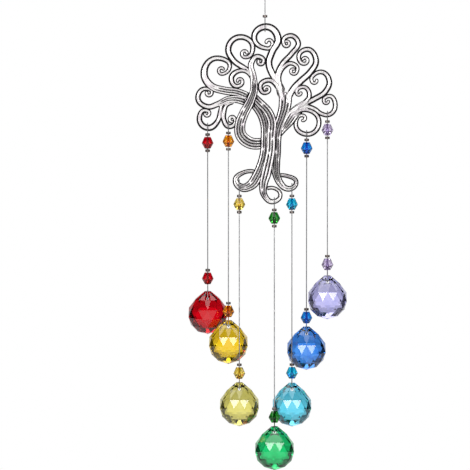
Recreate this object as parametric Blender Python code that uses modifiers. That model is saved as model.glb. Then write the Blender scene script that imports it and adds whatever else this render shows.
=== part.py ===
"""Crystal suncatcher: a cast tree of scrolls on a ring, with seven glass balls on wires.

Run with: blender --background --python part.py
Lengths are in metres and +Z is up. The front of the tree faces -Y. The origin is the spot
at the top of the hanging ring's opening where a hook bears.
"""

import math

import bmesh
import bpy
from mathutils import Matrix, Vector
from mathutils.geometry import interpolate_bezier

# Sizes of the hanging ring and the wires
RING_OUTSIDE = 0.0104
RING_WIRE = 0.0009
WIRE = 0.0005
CLEARANCE = 0.0003
WIRE_PAIR_GAP = 0.00015
RING_TO_CROWN = 0.0255

# Sizes of the tree
TREE_HEIGHT = 0.094
GRID_STEPS = 182
LIMB_DEPTH = 0.0034
BAND_DEPTH = 0.0027
TIP_DEPTH = 0.0017
GROOVE_DEPTH = 0.0006
LIFT = 0.001
BACK_SHARE = 0.72
SHOULDER_SHARE = 0.05
LARGEST_TURN = math.radians(48)
LARGEST_STRIDE = 17

# Sizes of the glass ball
BALL_WIDTH = 0.0208
BALL_SIDES = 12
NUB_WIDTH = 0.0030
NUB_SIDES = 6
NUB_RISE = 0.00175
BALL_POINT = 0.0001
BALL_HOLE = 0.0015
BALL_HOLE_DROP = 0.0034
FACET_ROWS = (71, 97, 123, 149)

# Sizes of the beads and the crimps
BEAD_WIDTH = 0.0061
BEAD_HEIGHT = 0.0060
BEAD_FLAT = 0.0032
BEAD_SIDES = 8
CRIMP_WIDTH = 0.0025
CRIMP_HEIGHT = 0.0013
CRIMP_SIDES = 6

# Places along a strand
CRIMP_BELOW_BAND = 0.0026
CRIMP_ABOVE_CROWN = 0.0045
BEAD_TO_CRIMP = 0.0042
LOOP_RADIUS = 0.0010
LOOP_SLACK = 0.0007
PASSING_GAP = 0.0008

# Drop of each strand, from its band down to the ball's nub
RED_DROP = 0.0835
ORANGE_DROP = 0.0992
YELLOW_DROP = 0.0983
GREEN_DROP = 0.1138
SKY_DROP = 0.0990
BLUE_DROP = 0.0991
VIOLET_DROP = 0.0820

# Neck of each strand, from the middle of its lower bead down to the nub
RED_NECK = 0.0067
ORANGE_NECK = 0.0045
YELLOW_NECK = 0.0047
GREEN_NECK = 0.0047
SKY_NECK = 0.0051
BLUE_NECK = 0.0047
VIOLET_NECK = 0.0057

STEP = TREE_HEIGHT / GRID_STEPS
BALL_RADIUS = BALL_WIDTH / 2
WIRE_PAIR = (WIRE + WIRE_PAIR_GAP) / 2
BORE = 2 * (WIRE_PAIR + WIRE / 2 + CLEARANCE * 0.75)


class Branch:
    """One cast band: points along it, then a curl round an eye, all in grid steps.

    The tree is drawn on a grid of GRID_STEPS to its height. x runs right from the hanging
    wire and z runs up from the crown. Widths and lifts are spaced evenly along the band,
    and lifts are multiples of LIFT to the front.
    """

    def __init__(self, name, points, widths, eye=None, turn=0, tip=2.0, ridges=1,
                 depth=BAND_DEPTH, lifts=(0.0,)):
        self.name = name
        self.points = [Vector(point) for point in points]
        self.widths = widths
        self.eye = None if eye is None else Vector(eye)
        self.turn = math.radians(turn)
        self.tip = tip
        self.ridges = ridges
        self.depth = depth
        self.lifts = lifts


BRANCHES = [
    # Long limbs of the trunk, each from a fork down to the end of a looped root
    Branch("left_limb",
           [(-21, -72.5), (-9.5, -81), (-2.4, -91), (0.8, -102), (0.8, -117),
            (0.3, -129), (-2.5, -141), (-7.5, -153), (-14.2, -162.6), (-22.5, -165.4),
            (-30, -156.8), (-21, -147.8), (-9, -148.4)],
           (9, 10, 10.5, 10, 9.5, 9.5, 9.5, 10, 11, 8.5, 5.6, 4.2, 4),
           ridges=3, depth=LIMB_DEPTH, lifts=(-0.5, 0, 0.1, 0.1, 0, -0.4)),
    Branch("middle_limb",
           [(-8, -77), (2.6, -88), (7, -99), (6.3, -112), (5.8, -127), (3.5, -140),
            (1, -151), (-1.5, -161), (-1, -172), (7.8, -180), (15.7, -171.8),
            (9, -164.9), (2, -165.3)],
           (7, 8, 8.5, 8.5, 8.5, 8.5, 8.5, 9.4, 8.4, 5.8, 4.2, 3.4, 3.2),
           ridges=3, depth=LIMB_DEPTH, lifts=(0, 0.9, 1.0, 0.8, 0.3, 0.2, -0.2)),
    Branch("right_limb",
           [(20, -69), (19.7, -84), (16.5, -95), (12.5, -106), (11, -118), (10.9, -130),
            (10.4, -140), (11.6, -151), (15, -159.8), (19.5, -164.8), (24.9, -166.2),
            (31.9, -159), (22, -151.9), (12.5, -152.3)],
           (12, 12, 10.5, 9.5, 9.5, 9.5, 8.5, 7.4, 7, 6.4, 5.2, 4.2, 3.8, 3.8),
           ridges=3, depth=LIMB_DEPTH, lifts=(0.2, 0.3, 0.2, 0, -0.2, -0.6)),
    Branch("lower_right_limb",
           [(9, -126), (16, -114), (23.5, -105), (31.5, -97)],
           (8, 8, 6.5, 3.6), ridges=2, depth=LIMB_DEPTH, lifts=(-0.6, -0.5, -0.7)),
    # The root that leaves the crown, crosses in front of the trunk and turns in behind it
    Branch("crossing_root",
           [(6, -117), (-4, -120.5), (-15.8, -119.5), (-24.3, -111.6), (-25, -102),
            (-21.5, -91.5), (-15, -79), (-11, -67), (-11.7, -54), (-13.6, -40),
            (-7.4, -33.5), (-1.5, -38.6)],
           (9.5, 10.4, 11, 10, 8.8, 8, 6.8, 5.6, 5, 4.2, 3.2), eye=(-4.7, -38.7),
           turn=-200, ridges=3, lifts=(-0.9, -0.3, 0.9, 1.7, 1.6, 0.7, 0.3, 0.2)),
    # Scrolls of the crown, from the crown's top round to the left
    Branch("top_scroll",
           [(18, -70), (12, -58), (7, -50.5), (3.8, -40), (7, -29), (13, -16), (1, -3.8),
            (-10.9, -15), (-0.5, -25.1)],
           (6, 6, 6.2, 6.4, 6.8, 6, 5, 3.4, 2.6), eye=(3.2, -19.8), turn=290,
           lifts=(0.1, 0.5, 0.4)),
    Branch("upper_left_scroll",
           [(-11, -53), (-19.6, -46), (-32, -36.9), (-36.8, -27), (-24, -14),
            (-12.2, -24), (-18.2, -34.2)],
           (4.5, 5, 5.4, 5.4, 5, 4.6, 3.2, 2.6), eye=(-20, -30.4), turn=-280,
           lifts=(-0.2, 0, 0)),
    Branch("outer_left_scroll",
           [(-12, -77), (-27, -69.5), (-41, -67.5), (-54, -63), (-60.8, -52),
            (-46.5, -35.2), (-35.2, -44), (-40.5, -50.4)],
           (7, 7, 7, 7, 6.4, 4.8, 4.2, 3, 2.6), eye=(-43.3, -47.3), turn=-270,
           lifts=(-0.3, 0.3, 0.3)),
    Branch("left_scroll",
           [(-13, -83), (-27, -76.3), (-37, -76.6), (-47, -81), (-57, -83.9),
            (-67.1, -74), (-60, -65.8), (-53.2, -69.7)],
           (7.5, 7.5, 6.4, 5, 4.8, 4.8, 4.2, 3.4, 2.8), eye=(-56.4, -70), turn=-190,
           lifts=(-0.4, 0.1, 0)),
    Branch("red_scroll",
           [(-37, -78.5), (-42.7, -81.5), (-44.7, -88), (-47.2, -98), (-56.4, -104.9),
            (-65.6, -94.8), (-60.2, -87.3), (-55.6, -90.3)],
           (3.4, 3.2, 4.2, 5.6, 5.4, 4.4, 3.2, 2.6), eye=(-58.3, -90.6), turn=-170,
           lifts=(-0.1, 0.1)),
    Branch("orange_scroll",
           [(-31, -79.5), (-38.2, -82), (-41, -89), (-41.2, -96.8), (-35.7, -103.6),
            (-29.7, -97.5), (-33, -93.8)],
           (3.4, 3.6, 4.4, 4.6, 4.2, 3, 2.6), eye=(-33, -96.7), turn=180,
           lifts=(-0.2, 0.2)),
    Branch("inner_left_scroll",
           [(-11.5, -62), (-13.8, -53.5), (-18.5, -48.7), (-25.5, -47.8),
            (-33.7, -56.5), (-28.5, -63.2), (-22.6, -58.5)],
           (3.6, 3.6, 3.6, 4.8, 4.6, 3.4, 2.6), eye=(-25.4, -58.3), turn=180,
           lifts=(0.1, 0.3)),
    # Scrolls on the right, from beside the crown's top downwards
    Branch("upper_right_scroll",
           [(16, -74), (13.3, -61), (13, -50), (18, -40), (26, -31.5), (33, -18.7),
            (25, -12.7), (18.2, -18.8), (21.4, -23.3)],
           (5, 5, 5, 5, 4.8, 4.6, 4.4, 3.4, 2.4), eye=(21.6, -20.1), turn=215, tip=1.8,
           lifts=(0.3, 0.2, 0.1)),
    Branch("right_scroll",
           [(16, -99), (20.5, -87), (23.3, -75.4), (28.4, -65.9), (36, -57.9), (44.7, -49.8),
            (51, -37), (41.3, -26.4), (33.8, -35.5), (38.5, -40.8)],
           (4.5, 5, 5.6, 6.2, 6, 5.4, 4.6, 4.2, 3.4, 2.6), eye=(39.6, -37.1), turn=255,
           lifts=(0.5, 0.2, 0)),
    Branch("inner_right_scroll",
           [(19, -75), (15.2, -63), (14, -53.5), (18.5, -44.2), (26.5, -40.4),
            (32.5, -46.6), (28.7, -51.1)],
           (4, 4, 4, 4.2, 3.6, 2.8, 2.4), eye=(28.3, -48), turn=-200, tip=1.9,
           lifts=(0.4, 0.4)),
    Branch("far_right_scroll",
           [(17, -104), (24, -92.5), (31.5, -85), (40, -80.6), (50, -75.6), (60, -69),
            (64.3, -58.5), (56.5, -49), (49.5, -51.4), (46.4, -57)],
           (4.5, 5, 5.2, 5.2, 5, 5, 4.8, 4, 3.2, 2.6), eye=(49.7, -57.5), turn=190,
           lifts=(0.3, 0.1, 0)),
    Branch("small_right_scroll",
           [(26, -91), (33.5, -83.5), (40.5, -79), (44.4, -72.6), (37, -64),
            (31.6, -68.8)],
           (5, 4.6, 4.4, 4, 3.6, 3, 2.6), eye=(34, -69.8), turn=190, tip=1.9,
           lifts=(0.5, 0.4)),
    Branch("violet_scroll",
           [(24, -97), (31, -88), (40, -83.6), (49.5, -86), (56, -90.6), (62.6, -92.1),
            (70.3, -82.5), (63, -73.2), (58.7, -77.8)],
           (4.2, 4.2, 4.4, 4, 3.6, 4, 4, 3.2, 2.4), eye=(61.4, -78.1), turn=175,
           lifts=(-0.1, 0.1)),
    Branch("blue_scroll",
           [(15, -108), (23.5, -97), (31.5, -89.3), (41, -86.9), (54, -98),
            (42, -111.4), (30.7, -100.5), (36.5, -92.4)],
           (4.2, 4, 3.6, 3.8, 4.2, 4.2, 4.2, 3.2, 2.6), eye=(37.7, -95.5), turn=-200,
           lifts=(0.2, 0, 0.2)),
    Branch("centre_scroll",
           [(19, -90), (17.6, -75), (13.2, -64), (3.2, -57.2), (-4.9, -64), (0, -70),
            (4.3, -66)],
           (5, 5, 5, 4.4, 4.4, 3.2, 2.6), eye=(1.6, -66.2), turn=190, tip=1.9,
           lifts=(0.6, 0.5, 0.3)),
]


class Strand:
    """One hanging wire: its place on the tree, its length and its glass.

    x is in grid steps. A strand that passes another's ball hangs behind it (side 1) or in
    front of it (side -1). A wire that rests on that ball bends there and hangs plumb below.
    """

    def __init__(self, name, branch, x, drop, neck, ball_colour, bead_colour,
                 passes=None, side=0, rests=False):
        self.name = name
        self.branch = branch
        self.x = x
        self.drop = drop
        self.neck = neck
        self.ball_colour = ball_colour
        self.bead_colour = bead_colour
        self.passes = passes
        self.side = side
        self.rests = rests


STRANDS = [
    Strand("red", "red_scroll", -57.4, RED_DROP, RED_NECK,
           (0.62, 0.01, 0.03), (0.50, 0.01, 0.03), passes="orange", side=1),
    Strand("orange", "orange_scroll", -36.6, ORANGE_DROP, ORANGE_NECK,
           (0.80, 0.42, 0.03), (0.85, 0.22, 0.01)),
    Strand("yellow", "left_limb", -25.7, YELLOW_DROP, YELLOW_NECK,
           (0.86, 0.80, 0.32), (0.78, 0.48, 0.03), passes="orange", side=-1, rests=True),
    Strand("green", "middle_limb", 9.3, GREEN_DROP, GREEN_NECK,
           (0.01, 0.44, 0.13), (0.01, 0.20, 0.05), passes="sky", side=-1),
    Strand("sky", "right_limb", 26.9, SKY_DROP, SKY_NECK,
           (0.03, 0.46, 0.62), (0.01, 0.36, 0.60)),
    Strand("blue", "blue_scroll", 41.7, BLUE_DROP, BLUE_NECK,
           (0.01, 0.10, 0.62), (0.01, 0.10, 0.52), passes="sky", side=1),
    Strand("violet", "violet_scroll", 62.4, VIOLET_DROP, VIOLET_NECK,
           (0.72, 0.66, 0.90), (0.30, 0.16, 0.50)),
]


def clear_scene():
    """Removes the objects of the open scene."""
    for item in list(bpy.data.objects):
        bpy.data.objects.remove(item, do_unlink=True)


def collection(name):
    """A new collection in the scene."""
    made = bpy.data.collections.new(name)
    bpy.context.scene.collection.children.link(made)
    return made


def material(name, colour, roughness, metallic=0.0, transmission=0.0):
    """A Principled material."""
    made = bpy.data.materials.new(name)
    made.use_nodes = True
    shader = made.node_tree.nodes["Principled BSDF"]
    shader.inputs["Base Color"].default_value = (*colour, 1)
    shader.inputs["Roughness"].default_value = roughness
    shader.inputs["Metallic"].default_value = metallic
    shader.inputs["Transmission Weight"].default_value = transmission
    return made


def mesh_object(name, mesh, group, finish=None):
    """An object that holds a mesh, in a collection, with its material."""
    made = bpy.data.objects.new(name, mesh)
    group.objects.link(made)
    if finish is not None:
        mesh.materials.append(finish)
    return made


def mesh_from(name, sheet):
    """A mesh with its faces turned outwards, from a bmesh that this frees."""
    bmesh.ops.recalc_face_normals(sheet, faces=sheet.faces)
    mesh = bpy.data.meshes.new(name)
    sheet.to_mesh(mesh)
    sheet.free()
    return mesh


def boolean(target, tool, operation):
    """Joins or cuts a target with a tool that is hidden afterwards."""
    modifier = target.modifiers.new(tool.name, "BOOLEAN")
    modifier.operation = operation
    modifier.object = tool
    modifier.solver = "EXACT"
    modifier.use_self = operation == "UNION"
    tool.display_type = "WIRE"
    tool.hide_render = True


def turned(name, profile, sides, group, finish):
    """A turned piece: a closed profile of (radius, height), swept round Z by a screw."""
    mesh = bpy.data.meshes.new(name)
    corners = [(radius, 0, height) for radius, height in profile]
    edges = [(i, (i + 1) % len(corners)) for i in range(len(corners))]
    mesh.from_pydata(corners, edges, [])
    made = mesh_object(name, mesh, group, finish)
    screw = made.modifiers.new("turn", "SCREW")
    screw.steps = sides
    screw.render_steps = sides
    screw.use_merge_vertices = True
    screw.merge_threshold = 0.00001
    return made


def wire(name, route, group, finish):
    """A round wire along a route of points."""
    curve = bpy.data.curves.new(name, "CURVE")
    curve.dimensions = "3D"
    curve.bevel_depth = WIRE / 2
    curve.bevel_resolution = 2
    curve.use_fill_caps = True
    spline = curve.splines.new("POLY")
    spline.points.add(len(route) - 1)
    for point, place in zip(spline.points, route):
        point.co = (*place, 1)
    curve.materials.append(finish)
    made = bpy.data.objects.new(name, curve)
    group.objects.link(made)
    return made


def headings(points):
    """The direction of a smooth line at each of its points.

    At a point it is the tangent of the circle through the point and its two neighbours.
    """
    found = []
    for i, point in enumerate(points):
        before = point - points[i - 1] if i > 0 else None
        after = points[i + 1] - point if i + 1 < len(points) else None
        if before is None or after is None:
            found.append(None)
            continue
        blend = before.normalized() * after.length + after.normalized() * before.length
        found.append(blend.normalized())
    first = (points[1] - points[0]).normalized()
    last = (points[-1] - points[-2]).normalized()
    found[0] = 2 * first.dot(found[1]) * first - found[1]
    found[-1] = 2 * last.dot(found[-2]) * last - found[-2]
    return found


def smooth_line(points, detail):
    """Points along a smooth line through the given ones, which turns as a circle would."""
    ways = headings(points)
    line = [points[0].copy()]
    for i in range(len(points) - 1):
        turn = ways[i].angle(ways[i + 1])
        reach = (points[i + 1] - points[i]).length / (3 * math.cos(turn / 4) ** 2)
        part = interpolate_bezier(points[i], points[i] + ways[i] * reach,
                                  points[i + 1] - ways[i + 1] * reach, points[i + 1], detail)
        line.extend(part[1:])
    return line


def curl(branch):
    """The points of a branch's curl: a spiral from its last point in towards its eye."""
    start = branch.points[-1] - branch.eye
    first_angle = math.atan2(start.y, start.x)
    count = max(2, round(abs(branch.turn) / math.radians(50)))
    points = []
    for i in range(1, count + 1):
        share = i / count
        angle = first_angle + branch.turn * share
        radius = branch.tip + (start.length - branch.tip) * (1 - share) ** 1.3
        points.append(branch.eye + Vector((math.cos(angle), math.sin(angle))) * radius)
    return points


def spread(values, share):
    """The value at a share of the way along evenly spaced values."""
    if len(values) == 1:
        return values[0]
    place = share * (len(values) - 1)
    i = min(int(place), len(values) - 2)
    return values[i] + (values[i + 1] - values[i]) * (place - i)


def centre_line(branch, detail=9):
    """The stations of a branch's centre line, as (place, share of its length)."""
    points = list(branch.points)
    if branch.eye is not None:
        points += curl(branch)
    line = smooth_line(points, detail)
    lengths = [0.0]
    for a, b in zip(line, line[1:]):
        lengths.append(lengths[-1] + (b - a).length)
    return [(place, length / lengths[-1]) for place, length in zip(line, lengths)]


def thin_out(stations):
    """Keeps the stations where the line has turned or run far enough since the last."""
    kept = [0]
    turned_by = 0.0
    for i in range(1, len(stations) - 1):
        before = stations[i][0] - stations[i - 1][0]
        after = stations[i + 1][0] - stations[i][0]
        turned_by += before.angle(after)
        run = (stations[i][0] - stations[kept[-1]][0]).length
        if turned_by >= LARGEST_TURN or run >= LARGEST_STRIDE:
            kept.append(i)
            turned_by = 0.0
    last = len(stations) - 1
    if last - kept[-1] < 4 and len(kept) > 1:
        kept.pop()
    return kept + [last]


def band_section(width, depth, ridges):
    """The outline of a band's cross section, as (across, forward), seen down the band.

    The back is flat and narrower, the sides lean out from it to a shoulder, and the front
    rises to one crest a ridge.
    """
    half = width / 2
    shoulder = SHOULDER_SHARE * depth
    crest = depth / 2
    outline = [(-half * BACK_SHARE, -crest), (-half, shoulder)]
    for i in range(ridges):
        outline.append((-half + (i + 0.5) * width / ridges, crest))
        if i + 1 < ridges:
            outline.append((-half + (i + 1) * width / ridges, crest - GROOVE_DEPTH))
    return outline + [(half, shoulder), (half * BACK_SHARE, -crest)]


def place_on_tree(x, z, forward=0.0):
    """World position of a grid place, brought forward by a length in metres."""
    return Vector((x * STEP, -forward, -RING_TO_CROWN + z * STEP))


def band_depth(branch, share):
    """A band's depth: full along its run, less towards the tip of a curl."""
    if branch.eye is None:
        return branch.depth
    return branch.depth + (TIP_DEPTH - branch.depth) * share ** 2


def band_lift(branch, share):
    """How far forward a band stands."""
    return spread(branch.lifts, share) * LIFT


def band_stations(branch):
    """The stations of a branch's solid band: (place, way across it, width, share)."""
    stations = centre_line(branch)
    found = []
    for i in thin_out(stations):
        place, share = stations[i]
        ahead = stations[min(i + 1, len(stations) - 1)][0]
        behind = stations[max(i - 1, 0)][0]
        way = (ahead - behind).normalized()
        across = Vector((way.y, -way.x))
        found.append((place, across, spread(branch.widths, share), share))
    return found


def branch_mesh(branch):
    """A branch's band as a closed mesh, lofted along its centre line."""
    sheet = bmesh.new()
    loops = []
    for place, across, width, share in band_stations(branch):
        lift = band_lift(branch, share)
        loop = []
        for aside, forward in band_section(width, band_depth(branch, share), branch.ridges):
            spot = place + across * aside
            loop.append(sheet.verts.new(place_on_tree(spot.x, spot.y, forward + lift)))
        loops.append(loop)
    count = len(loops[0])
    for one, other in zip(loops, loops[1:]):
        for i in range(count):
            j = (i + 1) % count
            sheet.faces.new((one[i], one[j], other[j], other[i]))
    sheet.faces.new(loops[0])
    sheet.faces.new(loops[-1])
    return mesh_from(branch.name, sheet)


def build_tree(group, tools, finish):
    """The cast tree: its trunk limb with every other band joined to it."""
    first, *others = BRANCHES
    tree = mesh_object("tree", branch_mesh(first), group, finish)
    for branch in others:
        boolean(tree, mesh_object(branch.name, branch_mesh(branch), tools), "UNION")
    return tree


def edge_crossings(branch, x):
    """Where the edges of a branch's band pass x, from low to high, as (z, share)."""
    stations = band_stations(branch)
    crossings = []
    for side in (-0.5, 0.5):
        edge = [(place + across * width * side, share)
                for place, across, width, share in stations]
        for (a, share_a), (b, share_b) in zip(edge, edge[1:]):
            if (a.x - x) * (b.x - x) > 0 or a.x == b.x:
                continue
            t = (x - a.x) / (b.x - a.x)
            crossings.append((a.y + (b.y - a.y) * t, share_a + (share_b - share_a) * t))
    return sorted(crossings)


def band_at(name, x, highest=False):
    """The lowest or highest band of a branch at x: (middle z, half height, depth, lift).

    The middle is in grid steps and the rest in metres. It is wide enough for a wire.
    """
    branch = next(b for b in BRANCHES if b.name == name)
    reach = WIRE / 2 / STEP
    pairs = []
    for spot in (x - reach, x, x + reach):
        crossings = edge_crossings(branch, spot)
        pairs.append(crossings[-2:] if highest else crossings[:2])
    low = min(pair[0][0] for pair in pairs)
    high = max(pair[1][0] for pair in pairs)
    share = pairs[1][0][1]
    return ((low + high) / 2, (high - low) / 2 * STEP, band_depth(branch, share),
            band_lift(branch, share))


def nub_edge():
    """The nub's top edge and the way its cone faces, in the ball's (radius, height)."""
    top = BALL_RADIUS + NUB_RISE
    edge = Vector((NUB_WIDTH / 2, top))
    angle = math.atan2(edge.x, edge.y) + math.acos(BALL_RADIUS / edge.length)
    return edge, angle


def ball_mesh():
    """A faceted ball: rows of corners, each turned half a side from the last, in a hull."""
    edge, shoulder = nub_edge()
    sheet = bmesh.new()
    for i in range(NUB_SIDES):
        angle = 2 * math.pi * i / NUB_SIDES
        sheet.verts.new((edge.x * math.cos(angle), edge.x * math.sin(angle), edge.y))
    rows = [shoulder] + [math.radians(row) for row in FACET_ROWS]
    for k, polar in enumerate(rows):
        for i in range(BALL_SIDES):
            angle = 2 * math.pi * (i + ((k + 1) % 2) / 2) / BALL_SIDES
            radius = BALL_RADIUS * math.sin(polar)
            height = BALL_RADIUS * math.cos(polar)
            sheet.verts.new((radius * math.cos(angle), radius * math.sin(angle), height))
    sheet.verts.new((0, 0, -BALL_RADIUS - BALL_POINT))
    bmesh.ops.convex_hull(sheet, input=sheet.verts)
    return mesh_from("ball", sheet)


def build_ball(name, frame, group, tools, finish):
    """A glass ball with a hole for the wire drilled through its nub along Y."""
    ball = mesh_object(name, ball_mesh(), group, finish)
    sheet = bmesh.new()
    bmesh.ops.create_cone(sheet, cap_ends=True, segments=6, radius1=BALL_HOLE / 2,
                          radius2=BALL_HOLE / 2, depth=BALL_WIDTH)
    height = BALL_RADIUS + NUB_RISE - BALL_HOLE_DROP
    lay_down = Matrix.Rotation(math.pi / 2, 4, "X")
    sheet.transform(Matrix.Translation((0, 0, height)) @ lay_down)
    drill = mesh_object(name + "_drill", mesh_from("drill", sheet), tools)
    boolean(ball, drill, "DIFFERENCE")
    ball.matrix_world = frame
    drill.matrix_world = frame
    return ball


def bead_profile():
    """The outline of a drilled bicone bead, down its outer side and back up its bore."""
    half = BEAD_HEIGHT / 2
    return [(BORE / 2, half), (BEAD_FLAT / 2, half), (BEAD_WIDTH / 2, 0),
            (BEAD_FLAT / 2, -half), (BORE / 2, -half)]


def crimp_profile():
    """The outline of a crimp, down its outer side and back up its bore."""
    half = CRIMP_HEIGHT / 2
    return [(BORE / 2, half), (CRIMP_WIDTH / 2, half), (CRIMP_WIDTH / 2, -half),
            (BORE / 2, -half)]


def ball_level(strand):
    """The height of the middle of a strand's ball."""
    z, half, _, _ = band_at(strand.branch, strand.x)
    return place_on_tree(strand.x, z).z - half - strand.drop - BALL_RADIUS - NUB_RISE


def hung_pieces(strand):
    """The pieces at a strand's foot, as (height of the middle, radius)."""
    ball = ball_level(strand)
    bead = ball + BALL_RADIUS + NUB_RISE + strand.neck
    return [(ball, BALL_RADIUS), (bead, BEAD_WIDTH / 2), (bead + BEAD_TO_CRIMP, CRIMP_WIDTH / 2)]


def depth_apart(strand, other):
    """The least depth between two strands at which each clears the other's ball."""
    aside = (strand.x - other.x) * STEP
    squares = [0.0]
    for one, two in ((strand, other), (other, strand)):
        ball = ball_level(one)
        for level, radius in hung_pieces(two):
            reach = BALL_RADIUS + radius + PASSING_GAP
            squares.append(reach ** 2 - aside ** 2 - (ball - level) ** 2)
        if ball > ball_level(two):
            reach = BALL_RADIUS + WIRE + PASSING_GAP
            squares.append(reach ** 2 - aside ** 2)
    return math.sqrt(max(squares))


class StrandLine:
    """A strand's straight runs in its upright plane, from the band down to the ball."""

    def __init__(self, strand):
        z, half, depth, lift = band_at(strand.branch, strand.x)
        self.band_half = half
        self.band_depth = depth
        top = place_on_tree(strand.x, z, lift) - Vector((0, 0, half))
        back = 0.0
        if strand.passes is not None:
            other = next(s for s in STRANDS if s.name == strand.passes)
            back = strand.side * depth_apart(strand, other)
        end = top + Vector((0, back + lift, -strand.drop))
        self.corners = [top, end]
        if strand.rests:
            knee = Vector((top.x, end.y, ball_level(other)))
            self.corners = [top, knee, end]
        self.end = sum((b - a).length for a, b in zip(self.corners, self.corners[1:]))

    def frame(self, down):
        """The frame at a distance down the line, with its Z axis up the line."""
        left = down
        last = len(self.corners) - 2
        for i in range(last + 1):
            run = self.corners[i + 1] - self.corners[i]
            if left <= run.length or i == last:
                break
            left -= run.length
        way = run.normalized()
        place = self.corners[i] + way * left
        tilt = math.atan2(way.y, -way.z)
        return Matrix.Translation(place) @ Matrix.Rotation(tilt, 4, "X")

    def at(self, down, back=0.0):
        """A place at a distance down the line and a distance behind it."""
        return self.frame(down) @ Vector((0, back, 0))

    def round_band(self):
        """The wire's loop over the band, which stays square to the band."""
        loop = loop_round(self.band_half, self.band_depth / 2, -self.band_half)
        return [self.corners[0] + Vector((0, back, -down)) for down, back in loop]


def loop_round(half_height, half_depth, middle, count=5):
    """A loop over a band, from front to back, as (distance down, distance back)."""
    reach = LOOP_SLACK + WIRE / 2
    points = []
    for i in range(count + 1):
        angle = math.radians(-125 + 250 * i / count)
        down = middle - (half_height + reach) * math.cos(angle)
        back = (half_depth + reach) * math.sin(angle)
        points.append((down, back))
    return points


def loop_through_ball(nub_down):
    """Half of the loop through the ball's hole, from above down into the hole."""
    edge, angle = nub_edge()
    outward = Vector((math.sin(angle), math.cos(angle)))
    reach = CLEARANCE + WIRE / 2
    hole_height = edge.y - BALL_HOLE_DROP
    cone_at_hole = edge.x + BALL_HOLE_DROP * math.cos(angle) / math.sin(angle)
    middle = Vector((cone_at_hole - LOOP_RADIUS, hole_height + LOOP_RADIUS))
    beside_nub = edge + outward * reach
    points = [beside_nub]
    for share in (0.0, 0.5, 1.0):
        turn = angle + (math.pi - angle) * share
        points.append(middle + Vector((math.sin(turn), math.cos(turn))) * LOOP_RADIUS)
    return [(nub_down + edge.y - point.y, point.x) for point in points]


def strand_route(strand, line):
    """The wire of a strand: round the band, down through all its pieces and the ball."""
    bead_down = line.end - strand.neck
    bead_foot = bead_down + BEAD_HEIGHT / 2
    crimp_top = CRIMP_BELOW_BAND - CRIMP_HEIGHT / 2
    crimp_foot = CRIMP_BELOW_BAND + CRIMP_HEIGHT / 4
    upper = [(crimp_foot, -WIRE_PAIR), (crimp_top, -WIRE_PAIR)]
    lower = [(crimp_top, WIRE_PAIR)]
    if strand.rests:
        knee = (line.corners[1] - line.corners[0]).length
        lower.append((knee, WIRE_PAIR))
    lower.append((bead_foot, WIRE_PAIR))
    hook = loop_through_ball(line.end)
    lower += hook
    lower += [(down, -back) for down, back in reversed(hook)]
    lower.append((bead_foot, -WIRE_PAIR))
    lower.append((bead_down - BEAD_TO_CRIMP, -WIRE_PAIR))
    return ([line.at(down, back) for down, back in upper] + line.round_band()
            + [line.at(down, back) for down, back in lower])


def build_strand(strand, group, tools, finishes):
    """Every piece of one strand."""
    line = StrandLine(strand)
    ball_glass = material(strand.name + "_ball_glass", strand.ball_colour, 0.03,
                          transmission=0.9)
    bead_glass = material(strand.name + "_bead_glass", strand.bead_colour, 0.03,
                          transmission=0.9)
    bead_down = CRIMP_BELOW_BAND + BEAD_TO_CRIMP
    lower_bead_down = line.end - strand.neck
    crimps = (CRIMP_BELOW_BAND, bead_down + BEAD_TO_CRIMP, lower_bead_down - BEAD_TO_CRIMP)
    for i, down in enumerate(crimps, 1):
        crimp = turned(f"{strand.name}_crimp_{i}", crimp_profile(), CRIMP_SIDES, group,
                       finishes["crimp"])
        crimp.matrix_world = line.frame(down)
    for place, down in (("upper", bead_down), ("lower", lower_bead_down)):
        bead = turned(f"{strand.name}_bead_{place}", bead_profile(), BEAD_SIDES, group,
                      bead_glass)
        bead.matrix_world = line.frame(down)
    nub_to_middle = BALL_RADIUS + NUB_RISE
    build_ball(strand.name + "_ball", line.frame(line.end + nub_to_middle), group, tools,
               ball_glass)
    wire(strand.name + "_wire", strand_route(strand, line), group, finishes["wire"])


def build_ring(group, finish):
    """The hanging ring, upright and square to the front."""
    major = (RING_OUTSIDE - RING_WIRE) / 2
    bpy.ops.mesh.primitive_torus_add(
        major_radius=major, minor_radius=RING_WIRE / 2, major_segments=18, minor_segments=6,
        location=(0, 0, -(RING_OUTSIDE / 2 - RING_WIRE)), rotation=(math.pi / 2, 0, 0))
    ring = bpy.context.object
    ring.name = "hanging_ring"
    for other in ring.users_collection:
        other.objects.unlink(ring)
    group.objects.link(ring)
    ring.data.materials.append(finish)
    ring.data.shade_smooth()


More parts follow.
